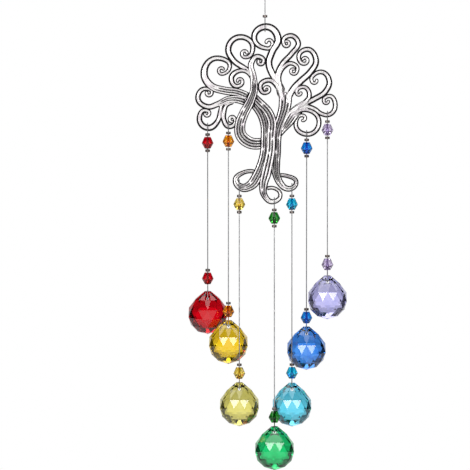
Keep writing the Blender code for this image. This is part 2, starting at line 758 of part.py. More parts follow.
def build_hanger(group, finishes):
    """The wire from the ring to the top scroll, with a crimp at each end."""
    ring_down = RING_OUTSIDE - 1.5 * RING_WIRE
    z, half, depth, lift = band_at("top_scroll", 0, highest=True)
    band = place_on_tree(0, z, lift)
    upper_crimp = ring_down + RING_WIRE / 2 + CRIMP_BELOW_BAND
    lower_crimp = -(band.z + half) - CRIMP_ABOVE_CROWN
    over_ring = loop_round(RING_WIRE / 2, RING_WIRE / 2, ring_down)
    under_band = [(2 * -band.z - down, back)
                  for down, back in loop_round(half, depth / 2, -band.z)]
    route = [(upper_crimp + CRIMP_HEIGHT / 4, -WIRE_PAIR),
             (upper_crimp - CRIMP_HEIGHT / 2, -WIRE_PAIR)]
    route += over_ring
    route.append((upper_crimp - CRIMP_HEIGHT / 2, WIRE_PAIR))
    route.append((lower_crimp + CRIMP_HEIGHT / 2, WIRE_PAIR))
    route += [(down, back - lift) for down, back in reversed(under_band)]
    route.append((lower_crimp + CRIMP_HEIGHT / 2, -WIRE_PAIR))
    route.append((lower_crimp - CRIMP_HEIGHT / 4, -WIRE_PAIR))
    wire("hanging_wire", [Vector((0, back, -down)) for down, back in route], group,
         finishes["wire"])
    for name, down in (("crimp_at_ring", upper_crimp), ("crimp_at_crown", lower_crimp)):
        crimp = turned(name, crimp_profile(), CRIMP_SIDES, group, finishes["crimp"])
        crimp.location = (0, 0, -down)


def main():
    """Builds the whole suncatcher."""
    clear_scene()
    group = collection("crystal_suncatcher")
    tools = collection("joined_and_cutting_shapes")
    finishes = {
        "silver": material("antique_silver", (0.62, 0.61, 0.60), 0.32, metallic=1.0),
        "wire": material("steel_wire", (0.42, 0.42, 0.43), 0.35, metallic=1.0),
        "crimp": material("crimp_metal", (0.30, 0.27, 0.25), 0.30, metallic=1.0),
    }
    build_tree(group, tools, finishes["silver"])
    build_ring(group, finishes["crimp"])
    build_hanger(group, finishes)
    for strand in STRANDS:
        build_strand(strand, group, tools, finishes)


main()
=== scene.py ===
"""Looks of the crystal suncatcher: a cast silver tree with seven strands of cut glass.

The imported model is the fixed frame. Each class here builds one kind of piece over its own
solid, dresses it in its finish and hands it to the frame. Lengths are in metres.
"""

import logging
import math
from dataclasses import dataclass, field
from enum import Enum

import bmesh
import bpy
import numpy as np
from mathutils import Matrix, Vector
from mathutils.bvhtree import BVHTree
from mathutils.geometry import interpolate_bezier


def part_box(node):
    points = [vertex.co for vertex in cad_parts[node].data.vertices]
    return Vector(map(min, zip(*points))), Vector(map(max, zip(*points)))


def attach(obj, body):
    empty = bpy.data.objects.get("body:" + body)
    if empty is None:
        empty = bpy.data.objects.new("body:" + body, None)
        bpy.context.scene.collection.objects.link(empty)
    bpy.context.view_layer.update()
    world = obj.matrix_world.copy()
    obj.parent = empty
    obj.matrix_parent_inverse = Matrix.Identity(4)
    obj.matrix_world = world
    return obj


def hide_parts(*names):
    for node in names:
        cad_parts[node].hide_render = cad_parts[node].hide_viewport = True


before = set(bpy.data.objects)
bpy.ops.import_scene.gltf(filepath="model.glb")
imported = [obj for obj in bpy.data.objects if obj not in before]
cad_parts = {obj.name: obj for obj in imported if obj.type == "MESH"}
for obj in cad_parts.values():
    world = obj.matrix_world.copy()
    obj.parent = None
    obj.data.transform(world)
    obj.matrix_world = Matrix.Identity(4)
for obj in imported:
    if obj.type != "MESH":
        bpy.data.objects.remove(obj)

log = logging.getLogger("suncatcher")

STEP = 0.094 / 182
RING_TO_CROWN = 0.0255
WIRE = 0.0005
WIRE_PAIR = 0.000325
CORNER = 0.0006
CRIMP_HEIGHT = 0.0013
BEAD_HEIGHT = 0.0060
BALL_RADIUS = 0.0104
NUB_RISE = 0.00175
NUB_WIDTH = 0.0030
NUB_TOP = BALL_RADIUS + NUB_RISE
HOLE_DROP = 0.0034
HOLE_WIDTH = 0.0015
BEAD_INDEX = 1.45
SMOOTH_UP_TO = math.radians(50)


class Kind(Enum):
    """How a band of the tree is worked."""

    LIMB = "limb"
    ROOT = "root"
    SCROLL = "scroll"


# Helpers for meshes and objects

def add_object(name: str, data: bpy.types.ID) -> bpy.types.Object:
    """Puts an object that holds the data into the scene.

    Args:
        name: Name of the object.
        data: Its mesh, curve, light or camera.

    Returns:
        The new object.
    """
    made = bpy.data.objects.new(name, data)
    bpy.context.scene.collection.objects.link(made)
    return made


def mesh_of(name: str, sheet: bmesh.types.BMesh) -> bpy.types.Mesh:
    """Turns a bmesh into a mesh with its faces outwards.

    Args:
        name: Name of the mesh.
        sheet: The bmesh, which is freed.

    Returns:
        The mesh.
    """
    bmesh.ops.recalc_face_normals(sheet, faces=sheet.faces)
    mesh = bpy.data.meshes.new(name)
    sheet.to_mesh(mesh)
    sheet.free()
    return mesh


def row(sheet: bmesh.types.BMesh, radius: float, height: float, sides: int,
        shift: float = 0.0) -> None:
    """Adds a level row of points round the Z axis.

    Args:
        sheet: The bmesh that the points go into.
        radius: Radius of the row.
        height: Its height.
        sides: Number of points.
        shift: How far round it starts, in spaces between points.
    """
    for i in range(sides):
        angle = math.tau * (i + shift) / sides
        sheet.verts.new((radius * math.cos(angle), radius * math.sin(angle), height))


def facets(name: str, sheet: bmesh.types.BMesh, bevel: float) -> bpy.types.Mesh:
    """Stretches flat facets round a bmesh's points, with polished edges between them.

    Args:
        name: Name of the mesh.
        sheet: The bmesh, which is freed.
        bevel: Width of the polished edges.

    Returns:
        The mesh.
    """
    bmesh.ops.convex_hull(sheet, input=sheet.verts)
    bmesh.ops.dissolve_limit(sheet, angle_limit=0.003, verts=sheet.verts, edges=sheet.edges)
    bmesh.ops.bevel(sheet, geom=sheet.edges, offset=bevel, segments=1, affect="EDGES")
    return mesh_of(name, sheet)


def closed_turn(name: str, sheet: bmesh.types.BMesh, loops: list) -> bpy.types.Mesh:
    """Joins loops of points, the last back to the first, into a smooth closed turn.

    Args:
        name: Name of the mesh.
        sheet: The bmesh that holds the points, which is freed.
        loops: Its points, loop by loop.

    Returns:
        The mesh.
    """
    for i, loop in enumerate(loops):
        following = loops[(i + 1) % len(loops)]
        for k in range(len(loop)):
            n = (k + 1) % len(loop)
            sheet.faces.new((loop[k], loop[n], following[n], following[k]))
    mesh = mesh_of(name, sheet)
    mesh.shade_smooth()
    return mesh


def surface_of(mesh: bpy.types.Mesh) -> BVHTree:
    """A mesh's faces, ready to be felt by rays."""
    return BVHTree.FromPolygons([vertex.co for vertex in mesh.vertices],
                                [tuple(face.vertices) for face in mesh.polygons])


def cut(body: bpy.types.Mesh, tool: bpy.types.Mesh) -> bpy.types.Mesh:
    """Cuts one mesh out of another.

    Args:
        body: The mesh to cut.
        tool: The mesh to take away.

    Returns:
        The cut mesh, as a new one.
    """
    target = add_object("body_to_cut", body)
    cutter = add_object("cutting_shape", tool)
    change = target.modifiers.new("cut", "BOOLEAN")
    change.operation = "DIFFERENCE"
    change.solver = "EXACT"
    change.object = cutter
    depsgraph = bpy.context.evaluated_depsgraph_get()
    result = bpy.data.meshes.new_from_object(target.evaluated_get(depsgraph))
    bpy.data.objects.remove(target)
    bpy.data.objects.remove(cutter)
    return result


def cylinder(radius: float, length: float, sides: int, place: Matrix) -> bpy.types.Mesh:
    """A closed cylinder as a mesh.

    Args:
        radius: Its radius.
        length: Its length along its own Z axis.
        sides: Number of sides.
        place: Where it goes.

    Returns:
        The mesh.
    """
    sheet = bmesh.new()
    bmesh.ops.create_cone(sheet, cap_ends=True, segments=sides, radius1=radius,
                          radius2=radius, depth=length)
    sheet.transform(place)
    return mesh_of("cylinder", sheet)


def hand_over(piece: bpy.types.Object, node: str) -> None:
    """Gives a piece to the frame in place of its solid.

    Args:
        piece: The finished piece.
        node: The solid that it stands for.
    """
    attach(piece, "root")
    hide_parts(node)
    log.info("%s stands for %s", piece.name, node)


def shoulder_angle() -> float:
    """Angle between the nub's axis and the place where its cone meets the ball.

    Returns:
        The angle, in radians.
    """
    reach = math.hypot(NUB_WIDTH / 2, NUB_TOP)
    return math.atan2(NUB_WIDTH / 2, NUB_TOP) + math.acos(BALL_RADIUS / reach)


def middle_of(node: str) -> Vector:
    """The middle of a solid's box."""
    low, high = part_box(node)
    return (low + high) / 2


# Node trees

@dataclass
class Nodes:
    """Short ways to write a node tree.

    Attributes:
        tree: The tree that the nodes go into.
    """

    tree: bpy.types.NodeTree

    def add(self, kind: str, **settings: object) -> bpy.types.Node:
        """Adds a node of a kind and sets its own settings.

        Args:
            kind: The node's type name, without its ShaderNode prefix.
            settings: Properties of the node.

        Returns:
            The node.
        """
        node = self.tree.nodes.new("ShaderNode" + kind)
        for key, value in settings.items():
            setattr(node, key, value)
        return node

    def put(self, value: object, socket: bpy.types.NodeSocket) -> None:
        """Links a socket into another, or sets a plain value on it."""
        if isinstance(value, bpy.types.NodeSocket):
            self.tree.links.new(value, socket)
        else:
            socket.default_value = value

    def sum(self, operation: str, *values: object, clamp: bool = False) -> bpy.types.NodeSocket:
        """A Math node.

        Args:
            operation: Its operation.
            values: Sockets or numbers for its inputs.
            clamp: Whether to keep the answer between 0 and 1.

        Returns:
            The answer's socket.
        """
        node = self.add("Math", operation=operation, use_clamp=clamp)
        for value, socket in zip(values, node.inputs):
            self.put(value, socket)
        return node.outputs[0]

    def noise(self, place: bpy.types.NodeSocket, scale: object, detail: float = 3.0,
              roughness: float = 0.5) -> bpy.types.NodeSocket:
        """A noise value over the surface.

        Args:
            place: Coordinates.
            scale: Its scale.
            detail: Number of octaves.
            roughness: Strength of the finer octaves.

        Returns:
            The value's socket.
        """
        node = self.add("TexNoise")
        self.put(place, node.inputs["Vector"])
        self.put(scale, node.inputs["Scale"])
        node.inputs["Detail"].default_value = detail
        node.inputs["Roughness"].default_value = roughness
        return node.outputs["Fac"]

    def span(self, value: object, low: object, high: object, to_low: float = 0.0,
             to_high: float = 1.0) -> bpy.types.NodeSocket:
        """Spreads a value from one range smoothly over another.

        Args:
            value: The value.
            low: Low end of its range.
            high: High end of its range.
            to_low: Answer at the low end.
            to_high: Answer at the high end.

        Returns:
            The answer's socket.
        """
        node = self.add("MapRange", interpolation_type="SMOOTHSTEP")
        for given, name in ((value, "Value"), (low, "From Min"), (high, "From Max"),
                            (to_low, "To Min"), (to_high, "To Max")):
            self.put(given, node.inputs[name])
        return node.outputs["Result"]

    def blend(self, share: object, one: object, other: object,
              mode: str = "MIX") -> bpy.types.NodeSocket:
        """Mixes two colours.

        Args:
            share: Share of the second colour.
            one: First colour.
            other: Second colour.
            mode: Blend type.

        Returns:
            The colour's socket.
        """
        node = self.add("Mix", data_type="RGBA", blend_type=mode)
        self.put(share, node.inputs["Factor"])
        self.put(one, node.inputs[6])
        self.put(other, node.inputs[7])
        return node.outputs[2]

    def emboss(self, height: bpy.types.NodeSocket, shader: bpy.types.Node,
               relief: tuple[float, float]) -> None:
        """Gives a shader fine relief.

        Args:
            height: The relief's height.
            shader: The shader.
            relief: Its strength and its depth in metres.
        """
        bump = self.add("Bump")
        bump.inputs["Strength"].default_value, bump.inputs["Distance"].default_value = relief
        self.put(height, bump.inputs["Height"])
        self.put(bump.outputs["Normal"], shader.inputs["Normal"])

    def worn(self, wear: bpy.types.Node, clean: object, clouded: float,
             scratched: float) -> bpy.types.NodeSocket:
        """Roughness of a metal with its wear.

        Args:
            wear: The wear group's node.
            clean: Roughness of the clean metal.
            clouded: How much tarnish adds.
            scratched: How much scratches add.

        Returns:
            The roughness.
        """
        tarnish = self.sum("MULTIPLY", wear.outputs["Tarnish"], clouded)
        scratches = self.sum("MULTIPLY", wear.outputs["Scratch"], scratched)
        return self.sum("ADD", self.sum("ADD", tarnish, scratches), clean)


def node_group(name: str, inputs: dict[str, float], outputs: dict[str, str]) -> tuple[
        bpy.types.NodeTree, Nodes, bpy.types.Node, bpy.types.Node]:
    """Starts a shader node group.

    Args:
        name: Its name.
        inputs: Its number inputs and their usual values.
        outputs: Its outputs and their socket types.

    Returns:
        The group, its node helper, its input node and its output node.
    """
    group = bpy.data.node_groups.new(name, "ShaderNodeTree")
    for key, value in inputs.items():
        socket = group.interface.new_socket(key, in_out="INPUT", socket_type="NodeSocketFloat")
        socket.default_value = value
    for key, kind in outputs.items():
        group.interface.new_socket(key, in_out="OUTPUT", socket_type=kind)
    return (group, Nodes(group), group.nodes.new("NodeGroupInput"),
            group.nodes.new("NodeGroupOutput"))


def new_material(name: str) -> tuple[bpy.types.Material, Nodes, bpy.types.Node]:
    """Starts a material.

    Args:
        name: Its name.

    Returns:
        The material, its node helper and its Principled shader.
    """
    made = bpy.data.materials.new(name)
    made.use_nodes = True
    return made, Nodes(made.node_tree), made.node_tree.nodes["Principled BSDF"]


class SharedEffects:
    """The node groups that more than one finish uses, each built once."""

    def __init__(self) -> None:
        """Builds the groups."""
        self.handling = self._handling()
        self.wear = self._wear()

    @staticmethod
    def _handling() -> bpy.types.NodeTree:
        """Faint smears, dust and polishing ripple on glass."""
        group, nodes, given, out = node_group(
            "glass_handling", {"Scale": 300.0, "Cloud": 0.12},
            {"Tone": "NodeSocketFloat", "Roughness": "NodeSocketFloat",
             "Height": "NodeSocketFloat"})
        place = nodes.add("TexCoord").outputs["Object"]
        cloud = nodes.noise(place, given.outputs["Scale"], 2.0)
        fine = nodes.noise(place, nodes.sum("MULTIPLY", given.outputs["Scale"], 9.0), 3.0)
        dust = nodes.span(fine, 0.66, 0.78)
        smear = nodes.span(cloud, 0.45, 0.75)
        tone = nodes.sum("MULTIPLY", nodes.sum("SUBTRACT", cloud, 0.5), given.outputs["Cloud"])
        nodes.put(nodes.sum("ADD", 1.0, tone), out.inputs["Tone"])
        rough = nodes.sum("MULTIPLY", smear, 0.03)
        nodes.put(nodes.sum("ADD", rough, nodes.sum("MULTIPLY", dust, 0.10)),
                  out.inputs["Roughness"])
        nodes.put(cloud, out.inputs["Height"])
        return group

    @staticmethod
    def _wear() -> bpy.types.NodeTree:
        """Scratches, pits and tarnish clouds on metal."""
        group, nodes, given, out = node_group(
            "metal_wear", {"Scale": 900.0, "Stretch": 1.0},
            {"Tarnish": "NodeSocketFloat", "Scratch": "NodeSocketFloat",
             "Height": "NodeSocketFloat"})
        place = nodes.add("TexCoord").outputs["Object"]
        mapping = nodes.add("Mapping")
        nodes.put(place, mapping.inputs["Vector"])
        stretch = nodes.add("CombineXYZ")
        nodes.put(given.outputs["Stretch"], stretch.inputs["X"])
        nodes.put(1.0, stretch.inputs["Y"])
        nodes.put(nodes.sum("DIVIDE", 1.0, given.outputs["Stretch"]), stretch.inputs["Z"])
        nodes.put(stretch.outputs[0], mapping.inputs["Scale"])
        cloud = nodes.noise(place, nodes.sum("DIVIDE", given.outputs["Scale"], 5.0), 4.0, 0.6)
        grain = nodes.noise(mapping.outputs[0], given.outputs["Scale"], 4.0, 0.65)
        lines = nodes.noise(mapping.outputs[0], nodes.sum("MULTIPLY", given.outputs["Scale"], 3.0),
                            2.0)
        nodes.put(nodes.span(cloud, 0.35, 0.72), out.inputs["Tarnish"])
        nodes.put(nodes.span(lines, 0.58, 0.70), out.inputs["Scratch"])
        nodes.put(grain, out.inputs["Height"])
        return group


@dataclass(frozen=True)
class AntiqueSilver:
    """Bright cast silver with black patina left in every groove and crevice, and painted shade in the
    same black along its crevices and edges.

    Attributes:
        bright: Colour of the polished ridges.
        shade: Colour of the clouded silver.
        patina_and_shade: Colour of the patina, also used as painted shade in crevices and along edges.
        wear_scale: Scale of its wear.
        edge: Stored values between which the patina and painted shade begin.
        ragged: How far the wear moves that beginning.
        roughness: Roughness of the silver and of the patina and painted shade.
        clouded: How much rougher its tarnish is.
        scratched: How much rougher its scratches are.
        relief: Strength and depth of its fine relief.
    """

    bright: tuple = (0.93, 0.91, 0.90, 1.0)
    shade: tuple = (0.64, 0.59, 0.62, 1.0)
    patina_and_shade: tuple = (0.012, 0.011, 0.012, 1.0)
    wear_scale: float = 1400.0
    edge: tuple = (0.25, 0.60)
    ragged: float = 0.2
    roughness: tuple = (0.36, 0.75)
    clouded: float = 0.08
    scratched: float = 0.10
    relief: tuple = (0.25, 0.00006)

    def material(self, effects: SharedEffects) -> bpy.types.Material:
        """Builds the material.

        Args:
            effects: The shared node groups.

        Returns:
            The material.
        """
        made, nodes, shader = new_material("antique_silver_finish")
        wear = nodes.add("Group", node_tree=effects.wear)
        wear.inputs["Scale"].default_value = self.wear_scale
        # The stored value holds groove patina, plus patina with painted shade in crevices and along
        # edges.
        depth = nodes.add("Attribute", attribute_type="GEOMETRY", attribute_name="patina_and_shade")
        ragged = nodes.sum("MULTIPLY", nodes.sum("SUBTRACT", wear.outputs["Height"], 0.5),
                           self.ragged)
        mask = nodes.span(nodes.sum("ADD", depth.outputs["Fac"], ragged), *self.edge)
        silver = nodes.blend(wear.outputs["Tarnish"], self.bright, self.shade)
        nodes.put(nodes.blend(mask, silver, self.patina_and_shade), shader.inputs["Base Color"])
        nodes.put(nodes.sum("SUBTRACT", 1.0, mask), shader.inputs["Metallic"])
        shader.inputs["Specular IOR Level"].default_value = 0.15
        clean = nodes.span(mask, 0.0, 1.0, *self.roughness)
        nodes.put(nodes.worn(wear, clean, self.clouded, self.scratched),
                  shader.inputs["Roughness"])
        nodes.emboss(wear.outputs["Height"], shader, self.relief)
        return made


@dataclass(frozen=True)
class PlainMetal:
    """A small metal part: drawn wire, a crimp or the ring.

    Attributes:
        name: Name of the material.
        bright: Its colour where it is clean.
        dull: Its colour where it has tarnished.
        roughness: Its roughness where it is clean.
        stretch: How far its grain runs along the wire.
        wear_scale: Scale of its wear.
        clouded: How much rougher its tarnish is.
        scratched: How much rougher its scratches are.
        relief: Strength and depth of its fine relief.
    """

    name: str
    bright: tuple
    dull: tuple
    roughness: float
    stretch: float = 1.0
    wear_scale: float = 2200.0
    clouded: float = 0.18
    scratched: float = 0.12
    relief: tuple = (0.3, 0.00003)

    def material(self, effects: SharedEffects) -> bpy.types.Material:
        """Builds the material.

        Args:
            effects: The shared node groups.

        Returns:
            The material.
        """
        made, nodes, shader = new_material(self.name)
        wear = nodes.add("Group", node_tree=effects.wear)
        wear.inputs["Scale"].default_value = self.wear_scale
        wear.inputs["Stretch"].default_value = self.stretch
        nodes.put(nodes.blend(wear.outputs["Tarnish"], self.bright, self.dull),
                  shader.inputs["Base Color"])
        shader.inputs["Metallic"].default_value = 1.0
        nodes.put(nodes.worn(wear, self.roughness, self.clouded, self.scratched),
                  shader.inputs["Roughness"])
        nodes.emboss(wear.outputs["Height"], shader, self.relief)
        return made


@dataclass(frozen=True)
class CutGlass:
    """Clear coloured glass with polished facets.

    Attributes:
        name: Name of the material.
        colour: Its colour.
        deep: Its colour where the melt is a little denser.
        index: Its refractive index.
        denser: Tones between which the melt turns denser.
        relief: Strength and depth of its polishing ripple.
    """

    name: str
    colour: tuple
    deep: tuple
    index: float = 1.62
    denser: tuple = (0.97, 1.03)
    relief: tuple = (0.06, 0.00004)

    def material(self, effects: SharedEffects) -> bpy.types.Material:
        """Builds the material.

        Args:
            effects: The shared node groups.

        Returns:
            The material.
        """
        made, nodes, shader = new_material(self.name)
        handling = nodes.add("Group", node_tree=effects.handling)
        share = nodes.span(handling.outputs["Tone"], *self.denser)
        nodes.put(nodes.blend(share, (*self.colour, 1.0), (*self.deep, 1.0)),
                  shader.inputs["Base Color"])
        nodes.put(handling.outputs["Roughness"], shader.inputs["Roughness"])
        shader.inputs["Metallic"].default_value = 0.0
        shader.inputs["Transmission Weight"].default_value = 1.0
        shader.inputs["IOR"].default_value = self.index
        nodes.emboss(handling.outputs["Height"], shader, self.relief)
        return made


# The cast tree

@dataclass(frozen=True)
class Branch:
    """One cast band: points along it, then a curl round an eye, in grid steps.

    Attributes:
        name: Its name.
        kind: How it is worked.
        points: Points along it, as (right, up) from the crown's top.
        widths: Widths, spaced evenly along it.
        eye: Middle of its curl, if it has one.
        turn: Degrees that the curl turns, anticlockwise.
        tip: Distance of its end from the eye.
        ridges: Number of ridges along its front.
        lined: Share of its length along which the grooves between them are deep.
        skin: Grid steps over which it runs into its neighbours without a line.
        lifts: How far forward it stands, in thousandths of a metre.
    """

    name: str
    kind: Kind
    points: tuple
    widths: tuple
    eye: tuple = ()
    turn: float = 0.0
    tip: float = 2.0
    ridges: int = 2
    lined: float = 0.13
    skin: float = 0.0
    lifts: tuple = (0.0,)


LIMB, ROOT, SCROLL = Kind.LIMB, Kind.ROOT, Kind.SCROLL
BRANCHES = (
    Branch("left_limb", LIMB,
           ((-21, -72.5), (-9.5, -81), (-2.4, -91), (0.8, -102), (0.8, -117), (0.3, -129),
            (-2.5, -141), (-7.5, -153), (-14.2, -162.2), (-22.5, -164.8), (-29.4, -157),
            (-21, -149.4), (-9, -149.2)),
           (9, 10, 10.5, 10, 9.5, 9.5, 9.5, 10, 10, 7.4, 4.8, 3.4, 3.2),
           ridges=4, lined=1, lifts=(-0.5, 0, 0.1, 0.1, 0, -0.4)),
    Branch("middle_limb", LIMB,
           ((-13.5, -72), (-5.5, -80), (2.6, -88.5), (7, -99), (6.3, -112), (5.8, -127),
            (3.5, -140), (1, -151), (-1.5, -161), (-1, -171.5), (7.8, -178.8), (15.4, -171.6),
            (9, -165.2), (2, -165.6)),
           (7, 8, 8.5, 8.5, 8.5, 8.5, 9, 9.6, 7.4, 5, 3.8, 3, 2.8),
           ridges=3, lined=1, lifts=(0, 0.5, 0.5, 0.5, 0.3, 0.2, -0.2)),
    Branch("right_limb", LIMB,
           ((20, -69), (19.7, -84), (16.5, -95), (12.5, -106), (11, -118), (10.9, -130),
            (10.4, -140), (11.2, -151), (15, -159.8), (19.5, -164.6), (24.9, -165.8),
            (31.2, -159.2), (22, -153), (12.5, -152.8)),
           (12, 12, 10.5, 9.5, 9.5, 9.5, 9, 8.4, 7, 6, 4.6, 3.6, 3.2, 3.2),
           ridges=4, lined=1, skin=9, lifts=(0.2, 0.3, 0.2, 0, -0.2, -0.6)),
    Branch("lower_right_limb", LIMB,
           ((13.6, -113.6), (17, -108.4), (23.1, -99.4), (28.8, -91.3), (35, -86)),
           (3.2, 5.6, 9.4, 10.4, 8), ridges=4, lined=0.68, lifts=(-0.4, 0.2, 0.4, 0.4, -1.4)),
    Branch("crossing_root", ROOT,
           ((6, -117), (-4, -120.5), (-15.8, -119.5), (-24.3, -111.6), (-25, -102),
            (-21.5, -91.5), (-15, -79), (-11, -67), (-11.7, -54), (-13.6, -40), (-7.4, -33.5),
            (-1.5, -38.6)),
           (9.5, 10.4, 11, 10, 8.8, 8, 6.8, 5.6, 5, 4.2, 3.2), (-4.7, -38.7), -200, ridges=4,
           lined=0.72,
           lifts=(-0.9, -0.3, 0.9, 1.7, 1.6, 0.7, 0.3, 0.2)),
    Branch("top_scroll", SCROLL,
           ((18, -70), (12, -58), (7, -50.5), (3.8, -40), (7, -29), (13, -16), (1, -3.8),
            (-10.9, -15), (-0.5, -25.1)),
           (6, 6, 6.2, 6.4, 6.8, 6, 5, 3.4, 2.6), (3.2, -19.8), 290, lined=0, skin=12,
           lifts=(0.1, 0.5, 0.4)),
    Branch("upper_left_scroll", SCROLL,
           ((-11, -53), (-19.6, -46), (-32, -36.9), (-36.8, -27), (-24, -14), (-12.2, -24),
            (-18.2, -34.2)),
           (4.5, 5, 5.4, 5.4, 5, 4.6, 3.2, 2.6), (-20, -30.4), -280, lined=0, skin=7,
           lifts=(-0.2, 0, 0)),
    Branch("outer_left_scroll", SCROLL,
           ((-12, -77), (-27, -69.5), (-41, -67.5), (-54, -63), (-60.8, -52), (-46.5, -35.2),
            (-35.2, -44), (-40.5, -50.4)),
           (7, 7, 7, 7, 6.4, 4.8, 4.2, 3, 2.6), (-43.3, -47.3), -270, ridges=3,
           lined=0.27, lifts=(-0.3, 0.3, 0.3)),
    Branch("left_scroll", SCROLL,
           ((-13, -83), (-27, -76.3), (-37, -76.6), (-47, -81), (-57, -83.9), (-67.1, -74),
            (-60, -65.8), (-53.2, -69.7)),
           (7.5, 7.5, 6.4, 5, 4.8, 4.8, 4.2, 3.4, 2.8), (-56.4, -70), -190, ridges=3,
           lined=0.34, lifts=(-0.4, 0.1, 0)),
    Branch("red_scroll", SCROLL,
           ((-37, -78.5), (-42.7, -81.5), (-44.7, -88), (-47.2, -98), (-56.4, -104.9),
            (-65.6, -94.8), (-60.2, -87.3), (-55.6, -90.3)),
           (3.4, 3.2, 4.2, 5.6, 5.4, 4.4, 3.2, 2.6), (-58.3, -90.6), -170, lined=0, skin=30,
           lifts=(-0.1, 0.1)),
    Branch("orange_scroll", SCROLL,
           ((-31, -79.5), (-38.2, -82), (-41, -89), (-41.2, -96.8), (-35.7, -103.6),
            (-29.7, -97.5), (-33, -93.8)),
           (3.4, 3.6, 4.4, 4.6, 4.2, 3, 2.6), (-33, -96.7), 180, lined=0, skin=32,
           lifts=(-0.2, 0.2)),
    Branch("inner_left_scroll", SCROLL,
           ((-11.5, -62), (-13.8, -53.5), (-18.5, -48.7), (-25.5, -47.8), (-33.7, -56.5),
            (-28.5, -63.2), (-22.6, -58.5)),
           (3.6, 3.6, 3.6, 4.8, 4.6, 3.4, 2.6), (-25.4, -58.3), 180, lined=0, skin=7,
           lifts=(0.1, 0.3)),
    Branch("upper_right_scroll", SCROLL,
           ((16, -74), (13.3, -61), (13, -50), (18, -40), (26, -31.5), (33, -18.7),
            (25, -12.7), (18.2, -18.8), (21.4, -23.3)),
           (5, 5, 5, 5, 4.8, 4.6, 4.4, 3.4, 2.4), (21.6, -20.1), 215, 1.8, lined=0, skin=30,
           lifts=(0.3, 0.2, 0.1)),
    Branch("right_scroll", SCROLL,
           ((20.8, -85), (23.3, -75.4), (28.4, -65.9), (36, -57.9), (44.7, -49.8),
            (51, -37), (41.3, -26.4), (33.8, -35.5), (38.5, -40.8)),
           (5, 5.6, 6.2, 6, 5.4, 4.6, 4.2, 3.4, 2.6), (39.6, -37.1), 255,
           lined=0, skin=26, lifts=(0.5, 0.2, 0)),
    Branch("inner_right_scroll", SCROLL,
           ((19, -75), (15.2, -63), (14, -53.5), (18.5, -44.2), (26.5, -40.4), (32.5, -46.6),
            (28.7, -51.1)),
           (4, 4, 4, 4.2, 3.6, 2.8, 2.4), (28.3, -48), -200, 1.9, lined=0, skin=30,
           lifts=(0.4, 0.4)),
    Branch("far_right_scroll", SCROLL,
           ((17, -104), (24, -92.5), (31.5, -85), (40, -80.6), (50, -75.6), (60, -69),
            (64.3, -58.5), (56.5, -49), (49.5, -51.4), (46.4, -57)),
           (4.5, 5, 5.2, 5.2, 5, 5, 4.8, 4, 3.2, 2.6), (49.7, -57.5), 190, lined=0, skin=34,
           lifts=(0.3, 0.1, 0)),
    Branch("small_right_scroll", SCROLL,
           ((26, -91), (33.5, -83.5), (40.5, -79), (44.4, -72.6), (37, -64), (31.6, -68.8)),
           (5, 4.6, 4.4, 4, 3.6, 3, 2.6), (34, -69.8), 190, 1.9, lined=0, skin=18,
           lifts=(0.5, 0.4)),
    Branch("violet_scroll", SCROLL,
           ((24, -97), (31, -88), (40, -83.6), (49.5, -86), (56, -90.6), (62.6, -92.1),
            (70.3, -82.5), (63, -73.2), (58.7, -77.8)),
           (4.2, 4.2, 4.4, 4, 3.6, 4, 4, 3.2, 2.4), (61.4, -78.1), 175, lined=0, skin=24,
           lifts=(-0.1, 0.1)),
    Branch("blue_scroll", SCROLL,
           ((15, -108), (23.5, -97), (31.5, -89.3), (41, -86.9), (54, -98), (42, -111.4),
            (30.7, -100.5), (36.5, -92.4)),
           (4.2, 4, 3.6, 3.8, 4.2, 4.2, 4.2, 3.2, 2.6), (37.7, -95.5), -200, skin=6,
           lifts=(0.2, 0, 0.2)),
    Branch("centre_scroll", SCROLL,
           ((17.4, -84), (16.6, -73.5), (13, -64), (3.2, -57.2), (-4.9, -64), (0, -70),
            (4.3, -66)),
           (5, 5, 5, 4.4, 4.4, 3.2, 2.6), (1.6, -66.2), 190, 1.9,
           lined=0, skin=30, lifts=(0.6, 0.5, 0.3)),
)


def headings(points: list[Vector]) -> list[Vector]:
    """Directions of a smooth line at its points, each a tangent of the circle there.

    Args:
        points: The line's points.

    Returns:
        A unit direction for each point.
    """
    found = [Vector((0, 0))] * len(points)
    for i in range(1, len(points) - 1):
        before = points[i] - points[i - 1]
        after = points[i + 1] - points[i]
        blend = before.normalized() * after.length + after.normalized() * before.length
        found[i] = blend.normalized()
    first = (points[1] - points[0]).normalized()
    last = (points[-1] - points[-2]).normalized()
    found[0] = 2 * first.dot(found[1]) * first - found[1]
    found[-1] = 2 * last.dot(found[-2]) * last - found[-2]
    return found


def centre_line(branch: Branch, detail: int) -> np.ndarray:
    """The fine centre line of a band.

    Args:
        branch: The band.
        detail: Points for each stretch between two of its own.

    Returns:
        Rows of (right, up, share of the length).
    """
    points = [Vector(point) for point in branch.points]
    if branch.eye:
        eye = Vector(branch.eye)
        start = points[-1] - eye
        first_angle = math.atan2(start.y, start.x)
        turn = math.radians(branch.turn)
        count = max(2, round(abs(turn) / math.radians(50)))
        for i in range(1, count + 1):
            share = i / count
            angle = first_angle + turn * share
            radius = branch.tip + (start.length - branch.tip) * (1 - share) ** 1.3
            points.append(eye + Vector((math.cos(angle), math.sin(angle))) * radius)
    ways = headings(points)
    line = [points[0]]
    for i in range(len(points) - 1):
        turn = ways[i].angle(ways[i + 1])
        reach = (points[i + 1] - points[i]).length / (3 * math.cos(turn / 4) ** 2)
        line += interpolate_bezier(points[i], points[i] + ways[i] * reach,
                                   points[i + 1] - ways[i + 1] * reach, points[i + 1], detail)[1:]
    places = np.array([tuple(point) for point in line])
    steps = np.hypot(*np.diff(places, axis=0).T)
    lengths = np.concatenate([[0.0], np.cumsum(steps)])
    return np.column_stack([places, lengths / lengths[-1]])


def along(values: tuple, shares: np.ndarray) -> np.ndarray:
    """Evenly spaced values, read at shares of the way along them."""
    return np.interp(shares, np.linspace(0, 1, len(values)), values) if len(values) > 1 \
        else np.full(len(shares), values[0])


